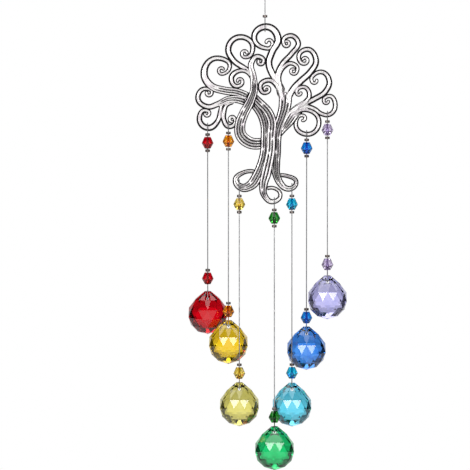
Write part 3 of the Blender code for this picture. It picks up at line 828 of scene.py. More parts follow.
@dataclass
class TreeCasting:
    """The cast tree: every band swept in fine detail, with its patina and painted shade worked out.

    Attributes:
        limb_depth: Depth of the limbs.
        band_depth: Depth of the scrolls and the crossing root.
        tip_depth: Depth at the tip of a curl.
        limb_edge: Width of the rounding at the edges of a limb or the crossing root.
        scroll_edge: Width of the rounding at a scroll's edges.
        stem_edge: The same where the scroll's stem starts.
        groove: Half width of a groove.
        deep: Depth of a groove in a limb.
        faint: Depth of the line along a scroll.
        rise: Length over which a band comes out of the one it grows from.
        burial: How deep its start lies in that one.
        swell: How much wider a band is than its solid's, which is drawn to the lines' middles.
        soft: How far inside its neighbour a band's line is gone.
        blunt: Length of the rounding at a band's start, in its widths.
        least: Square of the smallest share of its width there.
        grown_in: How deep a limb's start lies, as a share of a scroll's.
        narrowest: Space between ridges, in grid steps, under which outer grooves are gone.
        side: Heights of a side's foot and of the rounding over it, in half depths.
        fullest: Greatest rounding at an edge, in half widths of the band.
        groove_share: Greatest half width and depth of a groove, as shares of the space between ridges.
        bell: Width of a groove's curve, in half widths of the groove.
        strengths: How deep grooves are at a band's start, at its lined stretch's end and past it.
        fade: Share of a band's length over which its grooves fade.
        widening: Share of a scroll's length over which its edges widen.
        strokes: Pace, shift and height of the waves that break a groove.
        edge_turns: Degrees of the points round an edge.
        groove_points: Points across a groove, in half widths.
        back: Points of the back, in half widths and half depths, with their patina and painted shade.
        tip_turns: Degrees of the rings round a tip.
        detail: Points for each stretch of a centre line.
        rays: Rays that feel for crevices at each vertex.
        feel: Length of those rays.
        lift_off: How far off the surface they start.
        crevice_patina_and_shade_span: Shares of blocked rays between which patina and painted shade
            build up in crevices.
    """

    limb_depth: float = 0.0034
    band_depth: float = 0.0027
    tip_depth: float = 0.0017
    limb_edge: float = 0.00072
    scroll_edge: float = 0.00112
    stem_edge: float = 0.00058
    groove: float = 0.00052
    deep: float = 0.00030
    faint: float = 0.00004
    rise: float = 0.006
    burial: float = 0.0011
    swell: float = 0.0006
    soft: float = 0.0003
    blunt: float = 0.55
    least: float = 0.03
    grown_in: float = 0.3
    narrowest: float = 1.1
    side: tuple = (0.15, 0.80)
    fullest: float = 0.68
    groove_share: tuple = (0.325, 0.45)
    bell: float = 0.9
    strengths: tuple = (1.0, 0.9, 0.12)
    fade: float = 0.14
    widening: float = 0.25
    strokes: tuple = ((620, 2.3, 1.0), (1010, 4.1, 0.5))
    edge_turns: tuple = (0, 28, 56, 90)
    groove_points: tuple = (-1.4, -0.85, 0.0, 0.85, 1.4)
    back: tuple = ((0.97, -0.55, 0.75), (0.72, -1.0, 0.25),
                   (-0.72, -1.0, 0.25), (-0.97, -0.55, 0.75))
    tip_turns: tuple = (25, 48, 68, 84)
    detail: int = 9
    rays: int = 14
    feel: float = 0.0012
    lift_off: float = 0.00006
    crevice_patina_and_shade_span: tuple = (0.16, 0.58)
    places: list = field(default_factory=list)
    faces: list = field(default_factory=list)
    marks: list = field(default_factory=list)
    bands: list = field(default_factory=list)

    def build(self) -> bpy.types.Object:
        """Sweeps every band into one mesh and stores its patina and painted shade.

        Returns:
            The casting.
        """
        for branch in BRANCHES:
            self.sweep(branch)
        mesh = bpy.data.meshes.new("tree_casting")
        mesh.from_pydata(np.concatenate(self.places), [], self.faces)
        sheet = bmesh.new()
        sheet.from_mesh(mesh)
        bmesh.ops.recalc_face_normals(sheet, faces=sheet.faces)
        sheet.to_mesh(mesh)
        sheet.free()
        mesh.shade_smooth()
        mesh.set_sharp_from_angle(angle=SMOOTH_UP_TO)
        made = add_object("tree_casting", mesh)
        self.store_patina_and_shade(mesh)
        log.info("tree_casting has %d faces", len(mesh.polygons))
        return made

    def sweep(self, branch: Branch) -> None:
        """Sweeps one band's section along its centre line.

        Args:
            branch: The band.
        """
        line = centre_line(branch, self.detail)
        shares = line[:, 2]
        ways = np.gradient(line[:, :2], axis=0)
        ways /= np.linalg.norm(ways, axis=1)[:, None]
        widths = along(branch.widths, shares) * STEP + self.swell
        reach = np.hypot(*np.diff(line[:, :2], axis=0).T).sum() * STEP
        gone = 1 - np.clip(shares * reach / (widths[0] * self.blunt), 0, 1)
        widths *= np.sqrt(np.maximum(1 - gone ** 2, self.least))
        depths = np.full(len(line), self.limb_depth)
        if branch.kind is not LIMB:
            depths = self.band_depth + (self.tip_depth - self.band_depth) * shares ** 2
        strength = np.interp(shares, (0, branch.lined, branch.lined + self.fade), self.strengths)
        edges = np.full(len(line), self.limb_edge)
        if branch.kind is not LIMB:
            edges = np.interp(shares - branch.lined, (0, self.widening),
                              (self.stem_edge, self.scroll_edge))
        burial = self.burial if branch.kind is SCROLL else self.burial * self.grown_in
        buried = 1 - np.clip(shares * reach / self.rise, 0, 1)
        lifts = along(branch.lifts, shares) / 1000 - burial * buried ** 2
        rings = []
        marks = []
        for i in range(len(line)):
            far = shares[i] * reach
            pitch = (widths[i] - 2 * edges[i]) / (branch.ridges - 0.5) / STEP
            slim = min(1.0, max(0.0, (pitch - self.narrowest) * 2.5))
            cuts = [strength[i] * self.broken(far, k + 0.6 * len(self.places))
                    * (1 if 2 * k == branch.ridges else slim)
                    for k in range(1, branch.ridges)]
            across, forward, mark = self.section(widths[i], depths[i], edges[i], cuts)
            spot = line[i, :2] * STEP
            x = spot[0] + ways[i, 1] * across
            z = spot[1] - ways[i, 0] * across - RING_TO_CROWN
            rings.append(np.column_stack([x, -(forward + lifts[i]), z]))
            marks.append(mark)
        if branch.eye:
            self.round_tip(rings, marks, ways[-1], widths[-1])
        self.bands.append((line[:, :2] * STEP - (0, RING_TO_CROWN), widths / 2,
                           shares * reach < branch.skin * STEP))
        self.join(rings, marks)

    def broken(self, far: float, k: float) -> float:
        """How much of a groove is left, as grooves are cut in strokes with short breaks.

        Args:
            far: Distance along the band.
            k: Number of the groove.

        Returns:
            From 0.3 in a break to 1.
        """
        wave = sum(height * math.sin(far * pace + k * shift)
                   for pace, shift, height in self.strokes)
        return 1 - 0.7 * min(1.0, max(0.0, (wave - 1.22) * 6))

    def section(self, width: float, depth: float, edge: float,
                cuts: list[float]) -> tuple[np.ndarray, np.ndarray, np.ndarray]:
        """The outline of a band's section.

        Args:
            width: Width of the band there.
            depth: Depth of the band there.
            edge: Width of the rounding at its edges.
            cuts: How deep each groove is, from 0 to 1.

        Returns:
            The outline's distances across and forward, and how much patina each point holds
            as an edge, with painted shade, and as a groove.
        """
        half = width / 2
        crest = depth / 2
        edge = min(edge, half * self.fullest)
        turns = np.radians(self.edge_turns)
        across = list(-half + edge * (1 - np.cos(turns)))
        forward = list(crest * self.side[0] + crest * self.side[1] * np.sin(turns))
        # Patina with painted shade: the rounded edge is black, as patina and as the shade where the
        # band turns away from the front.
        mark = [(1.0, 0.0), (1.0, 0.0), (1.0, 0.0), (0.3, 0.0)]
        ridges = len(cuts) + 1
        pitch = (width - 2 * edge) / (ridges - 0.5)
        half_groove = min(self.groove, pitch * self.groove_share[0])
        deepest = min(self.deep, pitch * self.groove_share[1])
        for k in range(ridges):
            start = -half + edge + pitch * k
            across.append(start + pitch * 0.25)
            forward.append(crest)
            mark.append((0.0, 0.0))
            if k < len(cuts):
                down = self.faint + (deepest - self.faint) * cuts[k]
                reach = half_groove * (0.35 + 0.65 * cuts[k])
                for offset in self.groove_points:
                    bell = math.exp(-(offset / self.bell) ** 2)
                    across.append(start + pitch * 0.75 + offset * reach)
                    forward.append(crest * 0.985 - down * bell)
                    mark.append((0.0, bell * cuts[k]))
        across += [-a for a in across[3::-1]]
        forward += forward[3::-1]
        mark += mark[3::-1]
        # The back's side walls carry the same patina with painted shade.
        for share_across, share_forward, patina_and_shade in self.back:
            across.append(half * share_across)
            forward.append(crest * share_forward)
            mark.append((patina_and_shade, 0.0))
        return np.array(across), np.array(forward), np.array(mark)

    def round_tip(self, rings: list, marks: list, way: np.ndarray, width: float) -> None:
        """Rounds off the end of a curl.

        Args:
            rings: The band's rings, to which the tip's are added.
            marks: The rings' patina and painted edge shade, added to as well.
            way: The band's direction at its end.
            width: Its width there.
        """
        last = rings[-1]
        middle = last.mean(axis=0)
        ahead = np.array([way[0], 0.0, way[1]])
        for turn in np.radians(self.tip_turns):
            ring = middle + (last - middle) * math.cos(turn) + ahead * width / 2 * math.sin(turn)
            rings.append(ring)
            # Patina with painted shade round the rounded tip, darker towards its end.
            edges = np.maximum(marks[-1][:, 0], 0.25 + 0.4 * math.sin(turn))
            marks.append(np.column_stack([edges, marks[-1][:, 1]]))

    def join(self, rings: list, marks: list) -> None:
        """Adds a swept band's rings to the mesh as a closed shell.

        Args:
            rings: Rings of points.
            marks: Patina and painted edge shade at the points.
        """
        first = sum(len(block) for block in self.places)
        count = len(rings[0])
        self.places.append(np.concatenate(rings + [rings[0].mean(axis=0)[None],
                                                   rings[-1].mean(axis=0)[None]]))
        # The caps' middles carry patina with painted shade, as the edges do.
        self.marks.append(np.concatenate(marks + [np.array([(1.0, 0.0), (0.5, 0.0)])]))
        start_cap = first + len(rings) * count
        last = start_cap - count
        for k in range(count):
            n = (k + 1) % count
            self.faces += [(base + k, base + n, base + count + n, base + count + k)
                           for base in range(first, last, count)]
            self.faces += [(first + n, first + k, start_cap), (last + k, last + n, start_cap + 1)]

    def store_patina_and_shade(self, mesh: bpy.types.Mesh) -> None:
        """Feels for crevices round every vertex and stores the patina on the mesh, with painted shade
        darkening the crevices where rays are blocked.

        Args:
            mesh: The casting's mesh.
        """
        surface = surface_of(mesh)
        edges, lines = np.concatenate(self.marks).T
        chance = np.random.default_rng(7)
        spread = chance.normal(size=(self.rays, 3))
        spread /= np.linalg.norm(spread, axis=1)[:, None]
        directions = [Vector(row) for row in spread]
        values = np.zeros(len(mesh.vertices))
        for i, vertex in enumerate(mesh.vertices):
            normal = vertex.normal
            start = vertex.co + normal * self.lift_off
            hits = 0
            for way in directions:
                ray = way + normal * 1.05
                if surface.ray_cast(start, ray, self.feel)[0] is not None:
                    hits += 1
            values[i] = hits / self.rays
        # Painted shade: vertices whose rays are blocked by nearby bands are darkened like patina in
        # crevices.
        low, high = self.crevice_patina_and_shade_span
        crevice_patina_and_shade = np.clip((values - low) / (high - low), 0, 1)
        # Edge and crevice darkness, patina with painted shade, plus the grooves' patina.
        patina_and_shade = (edges + crevice_patina_and_shade * (1 - edges)) * (1 - self.covered()) + lines
        attribute = mesh.attributes.new("patina_and_shade", "FLOAT", "POINT")
        attribute.data.foreach_set("value", np.clip(patina_and_shade, 0, 1).astype(np.float32))

    def covered(self) -> np.ndarray:
        """Finds where bands run into each other without a line.

        Returns:
            For each vertex, 1 well inside such a neighbour and 0 outside it.
        """
        shares = []
        for own, block in enumerate(self.places):
            spots = block[:, (0, 2)]
            line, _, young = self.bands[own]
            nearest = np.hypot(*(spots[:, None] - line[None]).transpose(2, 0, 1)).argmin(axis=1)
            inside = np.zeros(len(block))
            for other, (centres, halves, fresh) in enumerate(self.bands):
                if other == own:
                    continue
                gaps = halves - np.hypot(*(spots[:, None] - centres[None]).transpose(2, 0, 1))
                anywhere = gaps.max(axis=1)
                if fresh.any():
                    inside = np.maximum(inside, gaps[:, fresh].max(axis=1))
                inside = np.where(young[nearest], np.maximum(inside, anywhere), inside)
            shares.append(np.clip(inside / self.soft, 0, 1))
        return np.concatenate(shares)

    def dress(self, piece: bpy.types.Object, finish: bpy.types.Material) -> None:
        """Puts the finish on and hands the casting to the frame.

        Args:
            piece: The casting.
            finish: Its material.
        """
        piece.data.materials.append(finish)
        hand_over(piece, "tree")


# Glass and small metal

@dataclass
class CutBall:
    """A faceted ball with a drilled nub.

    Attributes:
        sides: Facets round a row.
        rows: Polar angles of the rows of corners under the shoulder, in degrees.
        nub_sides: Sides of the nub.
        point: How far the lowest corner stands below the ball.
        bevel: Width of the polished edge between facets.
    """

    sides: int = 12
    rows: tuple = (71, 97, 123, 149)
    nub_sides: int = 6
    point: float = 0.0001
    bevel: float = 0.00004

    def mesh(self) -> bpy.types.Mesh:
        """The ball's mesh round its middle, with Z up its hole's nub.

        Returns:
            The mesh.
        """
        sheet = bmesh.new()
        row(sheet, NUB_WIDTH / 2, NUB_TOP, self.nub_sides)
        for k, polar in enumerate([shoulder_angle(), *np.radians(self.rows).tolist()]):
            row(sheet, BALL_RADIUS * math.sin(polar), BALL_RADIUS * math.cos(polar), self.sides,
                ((k + 1) % 2) / 2)
        sheet.verts.new((0, 0, -BALL_RADIUS - self.point))
        body = facets("cut_ball", sheet, self.bevel)
        lay = Matrix.Translation((0, 0, NUB_TOP - HOLE_DROP)) @ Matrix.Rotation(math.pi / 2, 4, "X")
        return cut(body, cylinder(HOLE_WIDTH / 2, 2 * BALL_RADIUS, 20, lay))


@dataclass
class CutBead:
    """A faceted bicone bead with a bore.

    Attributes:
        width: Width over its girdle.
        flat: Width of its flat ends.
        girdle: Height of the zigzag girdle.
        sides: Facets round each half.
        bore: Width of its bore.
        bevel: Width of the polished edge between facets.
    """

    width: float = 0.0061
    flat: float = 0.0032
    girdle: float = 0.0006
    sides: int = 8
    bore: float = 0.0014
    bevel: float = 0.00003

    def mesh(self) -> bpy.types.Mesh:
        """The bead's mesh round its middle, with its bore along Z.

        Returns:
            The mesh.
        """
        sheet = bmesh.new()
        rows = ((self.flat / 2, BEAD_HEIGHT / 2, 0.0), (self.width / 2, self.girdle / 2, 0.5),
                (self.width / 2, -self.girdle / 2, 0.0), (self.flat / 2, -BEAD_HEIGHT / 2, 0.5))
        for radius, height, shift in rows:
            row(sheet, radius, height, self.sides, shift)
        body = facets("cut_bead", sheet, self.bevel)
        return cut(body, cylinder(self.bore / 2, 2 * BEAD_HEIGHT, 16, Matrix.Identity(4)))


@dataclass
class CrimpTube:
    """A short metal tube pressed round the wires.

    Attributes:
        width: Its width.
        bore: Width of its bore.
        rounding: Radius of its rims.
        inner_rounding: The same at its bore.
        press: How much narrower it is from front to back.
        dent: How far the pliers pressed it in, as a share of its width.
        sides: Steps round it.
    """

    width: float = 0.0025
    bore: float = 0.0015
    rounding: float = 0.00022
    inner_rounding: float = 0.00008
    press: float = 0.90
    dent: float = 0.03
    sides: int = 28

    def mesh(self) -> bpy.types.Mesh:
        """The tube's mesh round its middle.

        Returns:
            The mesh.
        """
        half = CRIMP_HEIGHT / 2
        outline = []
        for corner_x, corner_z, start in ((self.width / 2, half, 90), (self.width / 2, -half, 0)):
            for k in range(5):
                turn = math.radians(start - 22.5 * k)
                middle_z = corner_z - math.copysign(self.rounding, corner_z)
                outline.append((corner_x - self.rounding + self.rounding * math.cos(turn),
                                middle_z + self.rounding * math.sin(turn)))
        outline += [(self.bore / 2, -half + self.inner_rounding),
                    (self.bore / 2, half - self.inner_rounding)]
        sheet = bmesh.new()
        loops = []
        for i in range(self.sides):
            angle = math.tau * i / self.sides
            dent = 1 - self.dent * math.cos(2 * angle) ** 8
            loops.append([sheet.verts.new((r * dent * math.cos(angle),
                                           r * dent * self.press * math.sin(angle), z))
                          for r, z in outline])
        mesh = closed_turn("crimp_tube", sheet, loops)
        mesh.set_sharp_from_angle(angle=SMOOTH_UP_TO)
        return mesh


def rounded(route: list[Vector], reach: float) -> list[Vector]:
    """Rounds the corners of a route.

    Args:
        route: Its points.
        reach: How far from a corner its rounding starts.

    Returns:
        The smoother route.
    """
    smooth = [route[0]]
    for before, corner, after in zip(route, route[1:], route[2:]):
        back = before - corner
        ahead = after - corner
        start = corner + back.normalized() * min(reach, back.length * 0.45)
        end = corner + ahead.normalized() * min(reach, ahead.length * 0.45)
        for t in (0.0, 0.33, 0.67, 1.0):
            smooth.append(start.lerp(corner, t).lerp(corner.lerp(end, t), t))
    return smooth + [route[-1]]


def wire_curve(name: str, route: list[Vector]) -> bpy.types.Object:
    """A round wire along a route.

    Args:
        name: Its name.
        route: Its points.

    Returns:
        The wire.
    """
    curve = bpy.data.curves.new(name, "CURVE")
    curve.dimensions = "3D"
    curve.bevel_depth = WIRE / 2
    curve.bevel_resolution = 3
    curve.use_fill_caps = True
    spline = curve.splines.new("POLY")
    spline.points.add(len(route) - 1)
    for point, place in zip(spline.points, route):
        point.co = (*place, 1)
    return add_object(name, curve)


def lay_wire(name: str, node: str, route: list[Vector], finish: bpy.types.Material) -> None:
    """Lays a wire, dresses it and hands it over.

    Args:
        name: Its name.
        node: The solid that it stands for.
        route: Its points, with sharp corners.
        finish: Its material.
    """
    route = rounded(route, CORNER)
    piece = wire_curve(name, route)
    piece.data.materials.append(finish)
    hand_over(piece, node)


@dataclass
class BandFeeler:
    """Feels where the casting's bands are, so that wires pass clear round them.

    Attributes:
        casting: The tree.
        slack: Room between a wire and a band.
        skip: How far inside a band a ray starts to feel for its far side.
        aside: How far before and behind the tree the rays for its depth start.
        levels: Heights at which the depth is felt, with the two sides.
        wrap: Degrees that a loop goes round to each side.
        steps: Points of a loop.
    """

    casting: bpy.types.Object
    slack: float = 0.0004
    skip: float = 0.0003
    aside: float = 0.02
    levels: int = 7
    wrap: float = 118.0
    steps: int = 25

    def __post_init__(self) -> None:
        """Prepares the casting's faces for rays."""
        self.faces = surface_of(self.casting.data)

    def loop(self, start: Vector, upward: bool) -> list[Vector]:
        """A wire's loop round the band that lies above or below a place.

        Args:
            start: A place straight under or over the band.
            upward: Whether the band lies above it.

        Returns:
            The loop's points, from the front round to the back.
        """
        sign = 1 if upward else -1
        way = Vector((0, 0, sign))
        near, far = zip(*[self.crossings(start + Vector((shift, 0, 0)), way)
                          for shift in (-WIRE / 2, 0.0, WIRE / 2)])
        edge = min(near) if upward else max(near)
        end = max(far) if upward else min(far)
        low = []
        high = []
        ahead = Vector((0, self.aside, 0))
        for height in np.linspace(edge, end, self.levels)[1:-1]:
            spot = Vector((start.x, 0, height))
            front = self.faces.ray_cast(spot - ahead, ahead)[0]
            behind = self.faces.ray_cast(spot + ahead, -ahead)[0]
            if front is not None and behind is not None:
                low.append(front.y)
                high.append(behind.y)
        middle = Vector((start.x, (min(low) + max(high)) / 2, (edge + end) / 2))
        reach = self.slack + WIRE / 2
        tall = abs(end - edge) / 2 + reach
        deep = (max(high) - min(low)) / 2 + reach
        return [middle + Vector((0, deep * math.sin(turn), sign * tall * math.cos(turn)))
                for turn in np.radians(np.linspace(-self.wrap, self.wrap, self.steps))]

    def crossings(self, place: Vector, way: Vector) -> tuple[float, float]:
        """Heights of the near and far sides of the first band along a way.

        Args:
            place: Where the ray starts.
            way: Its direction, up or down.

        Returns:
            The heights, near side first.
        """
        near = self.faces.ray_cast(place, way)[0]
        far = self.faces.ray_cast(near + way * self.skip, way)[0]
        return near.z, far.z


@dataclass
class Strand:
    """One strand: its wire with crimps, two beads and a ball.

    Attributes:
        name: Its colour's name.
        ball: Colour of the ball's glass.
        ball_deep: The same, where it is denser.
        bead: Colour of the beads' glass.
        bead_deep: The same, where it is denser.
    """

    name: str
    ball: tuple
    ball_deep: tuple
    bead: tuple
    bead_deep: tuple

    def frame_at(self, node: str) -> Matrix:
        """Where a solid of this strand sits, with Z up the strand.

        Args:
            node: End of the solid's name.

        Returns:
            Its place and tilt.
        """
        place = middle_of(f"{self.name}_{node}")
        upper, lower = ("crimp_1", "crimp_2") if node in ("crimp_1", "bead_upper", "crimp_2") \
            else ("crimp_3", "bead_lower")
        way = middle_of(f"{self.name}_{lower}") - middle_of(f"{self.name}_{upper}")
        tilt = math.atan2(way.y, -way.z)
        return Matrix.Translation(place) @ Matrix.Rotation(tilt, 4, "X")

    def ball_frame(self) -> Matrix:
        """Where the ball sits: its nub's top is one nub above the middle of its box."""
        tilt = self.frame_at("bead_lower").to_3x3().to_4x4()
        low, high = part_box(f"{self.name}_ball")
        middle = (low + high) / 2
        middle.z = high.z - NUB_TOP * tilt[2][2] - abs(tilt[2][1]) * NUB_WIDTH / 2
        return Matrix.Translation(middle) @ tilt

    def build(self, shapes: dict[str, bpy.types.Mesh], finishes: dict[str, bpy.types.Material],
              effects: SharedEffects, feeler: BandFeeler) -> None:
        """Builds, dresses and hands over every piece of the strand.

        Args:
            shapes: Meshes of a ball, a bead and a crimp.
            finishes: Materials of the wire and the crimps.
            effects: The shared node groups.
            feeler: Feels the tree's bands.
        """
        ball_glass = CutGlass(self.name + "_ball_finish", self.ball, self.ball_deep)
        bead_glass = CutGlass(self.name + "_bead_finish", self.bead, self.bead_deep,
                              BEAD_INDEX)
        ball_frame = self.ball_frame()
        self.place("ball", "cut_ball", shapes["ball"], ball_frame, ball_glass.material(effects),
                   "_ball_glass")
        beads = bead_glass.material(effects)
        for which in ("bead_upper", "bead_lower"):
            self.place(which, "cut_" + which, shapes["bead"], self.frame_at(which), beads,
                       "_bead_glass")
        for i in (1, 2, 3):
            self.place(f"crimp_{i}", f"crimp_tube_{i}", shapes["crimp"],
                       self.frame_at(f"crimp_{i}"), finishes["crimp"], "crimp_metal")
        self.build_wire(ball_frame, finishes["wire"], feeler)

    def place(self, node: str, title: str, shape: bpy.types.Mesh, frame_there: Matrix,
              finish: bpy.types.Material, slot: str) -> None:
        """Puts one copy of a shape over its solid.

        Args:
            node: End of the solid's name.
            title: End of the piece's name.
            shape: The mesh.
            frame_there: Where it goes.
            finish: Its material.
            slot: Not used.
        """
        mesh = shape.copy()
        mesh.transform(frame_there)
        mesh.materials.clear()
        mesh.materials.append(finish)
        piece = add_object(f"{self.name}_{title}", mesh)
        hand_over(piece, f"{self.name}_{node}")

    def build_wire(self, ball_frame: Matrix, finish: bpy.types.Material,
                   feeler: BandFeeler) -> None:
        """Builds the wire round the band, down through the beads and round the nub.

        Args:
            ball_frame: Where the ball sits.
            finish: The wire's material.
            feeler: Feels the tree's bands.
        """
        crimp = self.frame_at("crimp_1")
        bead = self.frame_at("bead_lower")
        last_crimp = self.frame_at("crimp_3")
        half = CRIMP_HEIGHT / 2
        loop = feeler.loop(crimp.translation + Vector((0, 0, half)), upward=True)
        route = [crimp @ Vector((0, -WIRE_PAIR, -half * 1.4)), crimp @ Vector((0, -WIRE_PAIR, half))]
        route += loop
        route.append(crimp @ Vector((0, WIRE_PAIR, half)))
        route.append(self.frame_at("crimp_2") @ Vector((0, WIRE_PAIR, -half)))
        if self.name == "yellow":
            under_middle = 0.0011
            level = middle_of("orange_ball").z - under_middle
            route.append(Vector((crimp.translation.x, last_crimp.translation.y, level)))
        route.append(last_crimp @ Vector((0, WIRE_PAIR, half)))
        route.append(bead @ Vector((0, WIRE_PAIR, -BEAD_HEIGHT / 2)))
        hook = self.hook()
        route += [ball_frame @ Vector((0, out, up)) for out, up in hook]
        route += [ball_frame @ Vector((0, -out, up)) for out, up in reversed(hook)]
        route.append(bead @ Vector((0, -WIRE_PAIR, -BEAD_HEIGHT / 2)))
        route.append(last_crimp @ Vector((0, -WIRE_PAIR, half * 1.5)))
        lay_wire(self.name + "_beading_wire", self.name + "_wire", route, finish)

    @staticmethod
    def hook() -> list[tuple[float, float]]:
        """Half of the wire's loop round the nub, as (distance out, height) in the ball's frame.

        Returns:
            The points, from above down into the hole.
        """
        angle = shoulder_angle()
        clear = 0.0003 + WIRE / 2
        radius = 0.0010
        hole = NUB_TOP - HOLE_DROP
        cone = NUB_WIDTH / 2 + HOLE_DROP * math.cos(angle) / math.sin(angle)
        middle = (cone - radius, hole + radius)
        points = [(NUB_WIDTH / 2 + math.sin(angle) * clear, NUB_TOP + math.cos(angle) * clear)]
        for share in np.linspace(0, 1, 9):
            turn = angle + (math.pi - angle) * share
            points.append((middle[0] + math.sin(turn) * radius, middle[1] + math.cos(turn) * radius))
        return points


@dataclass
class Hanger:
    """The ring, its two crimps and the wire between the ring and the tree.

    Attributes:
        outside: Width of the ring.
        thick: Thickness of the ring's wire.
        steps: Steps round the ring.
        sides: Sides of its wire.
        seam_at: Where its butt seam is, in degrees.
        seam_width: Half width of the seam, in degrees.
        seam_depth: Depth of the seam, as a share of the wire's radius.
    """

    outside: float = 0.0103
    thick: float = 0.0008
    steps: int = 120
    sides: int = 20
    seam_at: float = 200.0
    seam_width: float = 1.6
    seam_depth: float = 0.10

    def build(self, crimp: bpy.types.Mesh, finishes: dict[str, bpy.types.Material],
              feeler: BandFeeler) -> None:
        """Builds, dresses and hands over the hanger's pieces.

        Args:
            crimp: Mesh of a crimp.
            finishes: Materials of the wire, the crimps and the ring.
            feeler: Feels the tree's bands.
        """
        self.build_ring(finishes["ring"])
        for node in ("crimp_at_ring", "crimp_at_crown"):
            mesh = crimp.copy()
            mesh.transform(Matrix.Translation(middle_of(node)))
            mesh.materials.append(finishes["crimp"])
            hand_over(add_object(node + "_tube", mesh), node)
        self.build_wire(finishes["wire"], feeler)

    def build_ring(self, finish: bpy.types.Material) -> None:
        """Builds the ring as a closed turn of wire with a fine butt seam.

        Args:
            finish: Its material.
        """
        major = (self.outside - self.thick) / 2
        sheet = bmesh.new()
        loops = []
        for i in range(self.steps):
            angle = math.tau * i / self.steps
            off_seam = (math.degrees(angle) - self.seam_at) / self.seam_width
            seam = self.seam_depth * math.exp(-off_seam ** 2)
            radius = self.thick / 2 * (1 - seam)
            loop = []
            for k in range(self.sides):
                turn = math.tau * k / self.sides
                out = major + radius * math.cos(turn)
                loop.append(sheet.verts.new((out * math.cos(angle), radius * math.sin(turn),
                                             out * math.sin(angle) - major + self.thick / 2)))
            loops.append(loop)
        mesh = closed_turn("hook_ring", sheet, loops)
        mesh.materials.append(finish)
        hand_over(add_object("hook_ring", mesh), "hanging_ring")

    def build_wire(self, finish: bpy.types.Material, feeler: BandFeeler) -> None:
        """Builds the wire, looped through the ring and round the top scroll.

        Args:
            finish: Its material.
            feeler: Feels the tree's bands.
        """
        upper = middle_of("crimp_at_ring")
        lower = middle_of("crimp_at_crown")
        half = CRIMP_HEIGHT / 2
        ring_foot = -(self.outside - 1.5 * self.thick)
        reach = self.thick / 2 + 0.0007 + WIRE / 2
        route = [upper + Vector((0, -WIRE_PAIR, -half * 1.4)), upper + Vector((0, -WIRE_PAIR, half))]
        for turn in np.radians(np.linspace(-120, 120, 21)):
            route.append(Vector((0, reach * math.sin(turn), ring_foot + reach * math.cos(turn))))
        route.append(upper + Vector((0, WIRE_PAIR, half)))
        route.append(lower + Vector((0, WIRE_PAIR, -half)))
        route += list(reversed(feeler.loop(lower - Vector((0, 0, half)), upward=False)))
        route.append(lower + Vector((0, -WIRE_PAIR, -half)))
        route.append(lower + Vector((0, -WIRE_PAIR, half * 1.4)))
        lay_wire("hanging_loop_wire", "hanging_wire", route, finish)


@dataclass
class Studio:
    """The photograph's camera, a soft pale studio and a plain floor.

    Attributes:
        middle: Centre of the photograph in the object's upright plane.
        width: Width of the photograph there.
        distance: Distance of the camera.
        floor_level: Height of the floor.
        dim_sides: Brightness of the room at the object's sides.
    """

    middle: tuple = (-30 * STEP, -RING_TO_CROWN + (23 - 235) * STEP)
    width: float = 470 * STEP
    distance: float = 2.2
    floor_level: float = -0.42
    dim_sides: float = 0.02

    def build(self) -> None:
        """Builds the camera, the light and the floor."""
        self.build_camera()
        self.build_world()
        self.build_lights()
        self.build_floor()
        bpy.context.scene.view_settings.view_transform = "Standard"

    def build_camera(self) -> None:
        """Builds the camera, which looks straight at the tree's front."""
        camera = bpy.data.cameras.new("photograph_camera")
        camera.sensor_width = 36.0
        camera.lens = 36.0 * self.distance / self.width
        camera.clip_end = 50.0
        made = add_object("photograph_camera", camera)
        made.location = (self.middle[0], -self.distance, self.middle[1])
        made.rotation_euler = (math.pi / 2, 0, 0)
        bpy.context.scene.camera = made

    def build_world(self) -> None:
        """Builds a pale room: bright before and behind the object, darker at its sides."""
        world = bpy.data.worlds.new("pale_room")
        world.use_nodes = True
        bpy.context.scene.world = world
        nodes = Nodes(world.node_tree)
        back = world.node_tree.nodes["Background"]
        direction = nodes.add("TexCoord").outputs["Generated"]
        split = nodes.add("SeparateXYZ")
        nodes.put(direction, split.inputs[0])
        toward = nodes.sum("MULTIPLY", split.outputs["Y"], -1.0)
        front = nodes.span(toward, 0.66, 0.97, 0.0, 1.0)
        behind = nodes.span(split.outputs["Y"], 0.66, 0.95, 0.0, 0.98)
        ceiling = nodes.span(split.outputs["Z"], 0.12, 0.50, 1.0, 0.75)
        glow = nodes.sum("ADD", front, nodes.sum("MULTIPLY", behind, ceiling))
        glow = nodes.sum("ADD", glow, self.dim_sides)
        seen = nodes.add("LightPath").outputs["Is Camera Ray"]
        strength = nodes.sum("MAXIMUM", glow, seen)
        back.inputs["Color"].default_value = (1.0, 1.0, 1.0, 1.0)
        nodes.put(strength, back.inputs["Strength"])

    def build_lights(self) -> None:
        """Builds the large soft lights."""
        for name, place, size, power in (
                ("key_softbox", (-0.66, -1.10, 0.18), 0.44, 5.4),
                ("fill_softbox", (0.62, -1.12, 0.16), 0.38, 3.2),
                ("top_softbox", (-0.1, 0.1, 1.5), 2.0, 27.0)):
            light = bpy.data.lights.new(name, "AREA")
            light.size = size
            light.energy = power
            made = add_object(name, light)
            made.location = place
            aim = Vector((0, 0, -0.13)) - Vector(place)
            made.rotation_euler = aim.to_track_quat("-Z", "Y").to_euler()

    def build_floor(self) -> None:
        """Builds the round pale floor below the object."""
        sheet = bmesh.new()
        bmesh.ops.create_circle(sheet, cap_ends=True, segments=96, radius=0.9)
        mesh = mesh_of("studio_floor", sheet)
        finish, nodes, shader = new_material("pale_floor")
        place = nodes.add("TexCoord").outputs["Object"]
        cloud = nodes.noise(place, 18.0, 4.0)
        nodes.put(nodes.blend(cloud, (0.84, 0.84, 0.84, 1.0), (0.80, 0.80, 0.80, 1.0)),
                  shader.inputs["Base Color"])
        nodes.put(nodes.span(cloud, 0.2, 0.8, 0.55, 0.7), shader.inputs["Roughness"])
        mesh.materials.append(finish)
        floor = add_object("studio_floor", mesh)
        floor.location = (0, 0, self.floor_level)


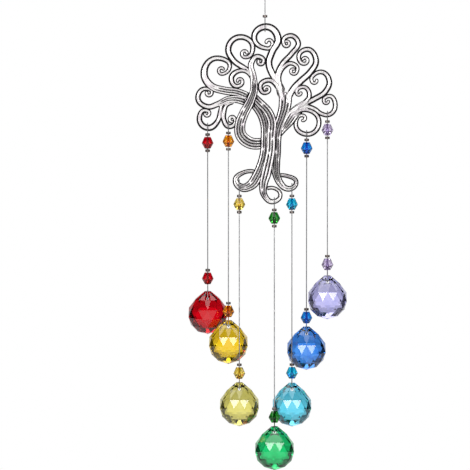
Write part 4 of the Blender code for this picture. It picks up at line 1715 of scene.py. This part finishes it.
STRANDS = (
    Strand("red", (0.72, 0.001, 0.010), (0.58, 0.001, 0.006),
           (0.80, 0.004, 0.015), (0.66, 0.002, 0.010)),
    Strand("orange", (0.97, 0.71, 0.03), (0.95, 0.56, 0.01),
           (1.0, 0.40, 0.02), (1.0, 0.32, 0.015)),
    Strand("yellow", (0.85, 0.79, 0.25), (0.79, 0.71, 0.14),
           (0.98, 0.77, 0.15), (0.94, 0.67, 0.09)),
    Strand("green", (0.02, 0.70, 0.22), (0.01, 0.56, 0.15),
           (0.025, 0.36, 0.03), (0.015, 0.26, 0.02)),
    Strand("sky", (0.17, 0.76, 0.96), (0.10, 0.66, 0.92),
           (0.03, 0.64, 0.94), (0.02, 0.55, 0.90)),
    Strand("blue", (0.08, 0.34, 0.92), (0.04, 0.22, 0.85),
           (0.02, 0.35, 0.98), (0.01, 0.27, 0.95)),
    Strand("violet", (0.63, 0.60, 0.97), (0.46, 0.46, 0.93),
           (0.77, 0.66, 0.91), (0.67, 0.55, 0.85)),
)


def main() -> None:
    """Builds the studio and every piece, in order."""
    logging.basicConfig(level=logging.INFO, format="%(name)s: %(message)s")
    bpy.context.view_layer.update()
    Studio().build()
    effects = SharedEffects()
    finishes = {
        "wire": PlainMetal("beading_wire_finish", (0.38, 0.38, 0.39, 1), (0.24, 0.24, 0.25, 1),
                           0.30, 3.0).material(effects),
        "crimp": PlainMetal("crimp_finish", (0.20, 0.17, 0.16, 1), (0.09, 0.075, 0.07, 1),
                            0.30).material(effects),
        "ring": PlainMetal("ring_finish", (0.62, 0.61, 0.60, 1), (0.40, 0.38, 0.37, 1),
                           0.22).material(effects),
    }
    tree = TreeCasting()
    casting = tree.build()
    tree.dress(casting, AntiqueSilver().material(effects))
    feeler = BandFeeler(casting)
    shapes = {"ball": CutBall().mesh(), "bead": CutBead().mesh(), "crimp": CrimpTube().mesh()}
    Hanger().build(shapes["crimp"], finishes, feeler)
    for strand in STRANDS:
        strand.build(shapes, finishes, effects, feeler)
    for shape in shapes.values():
        bpy.data.meshes.remove(shape)


if __name__ == "__main__":
    main()
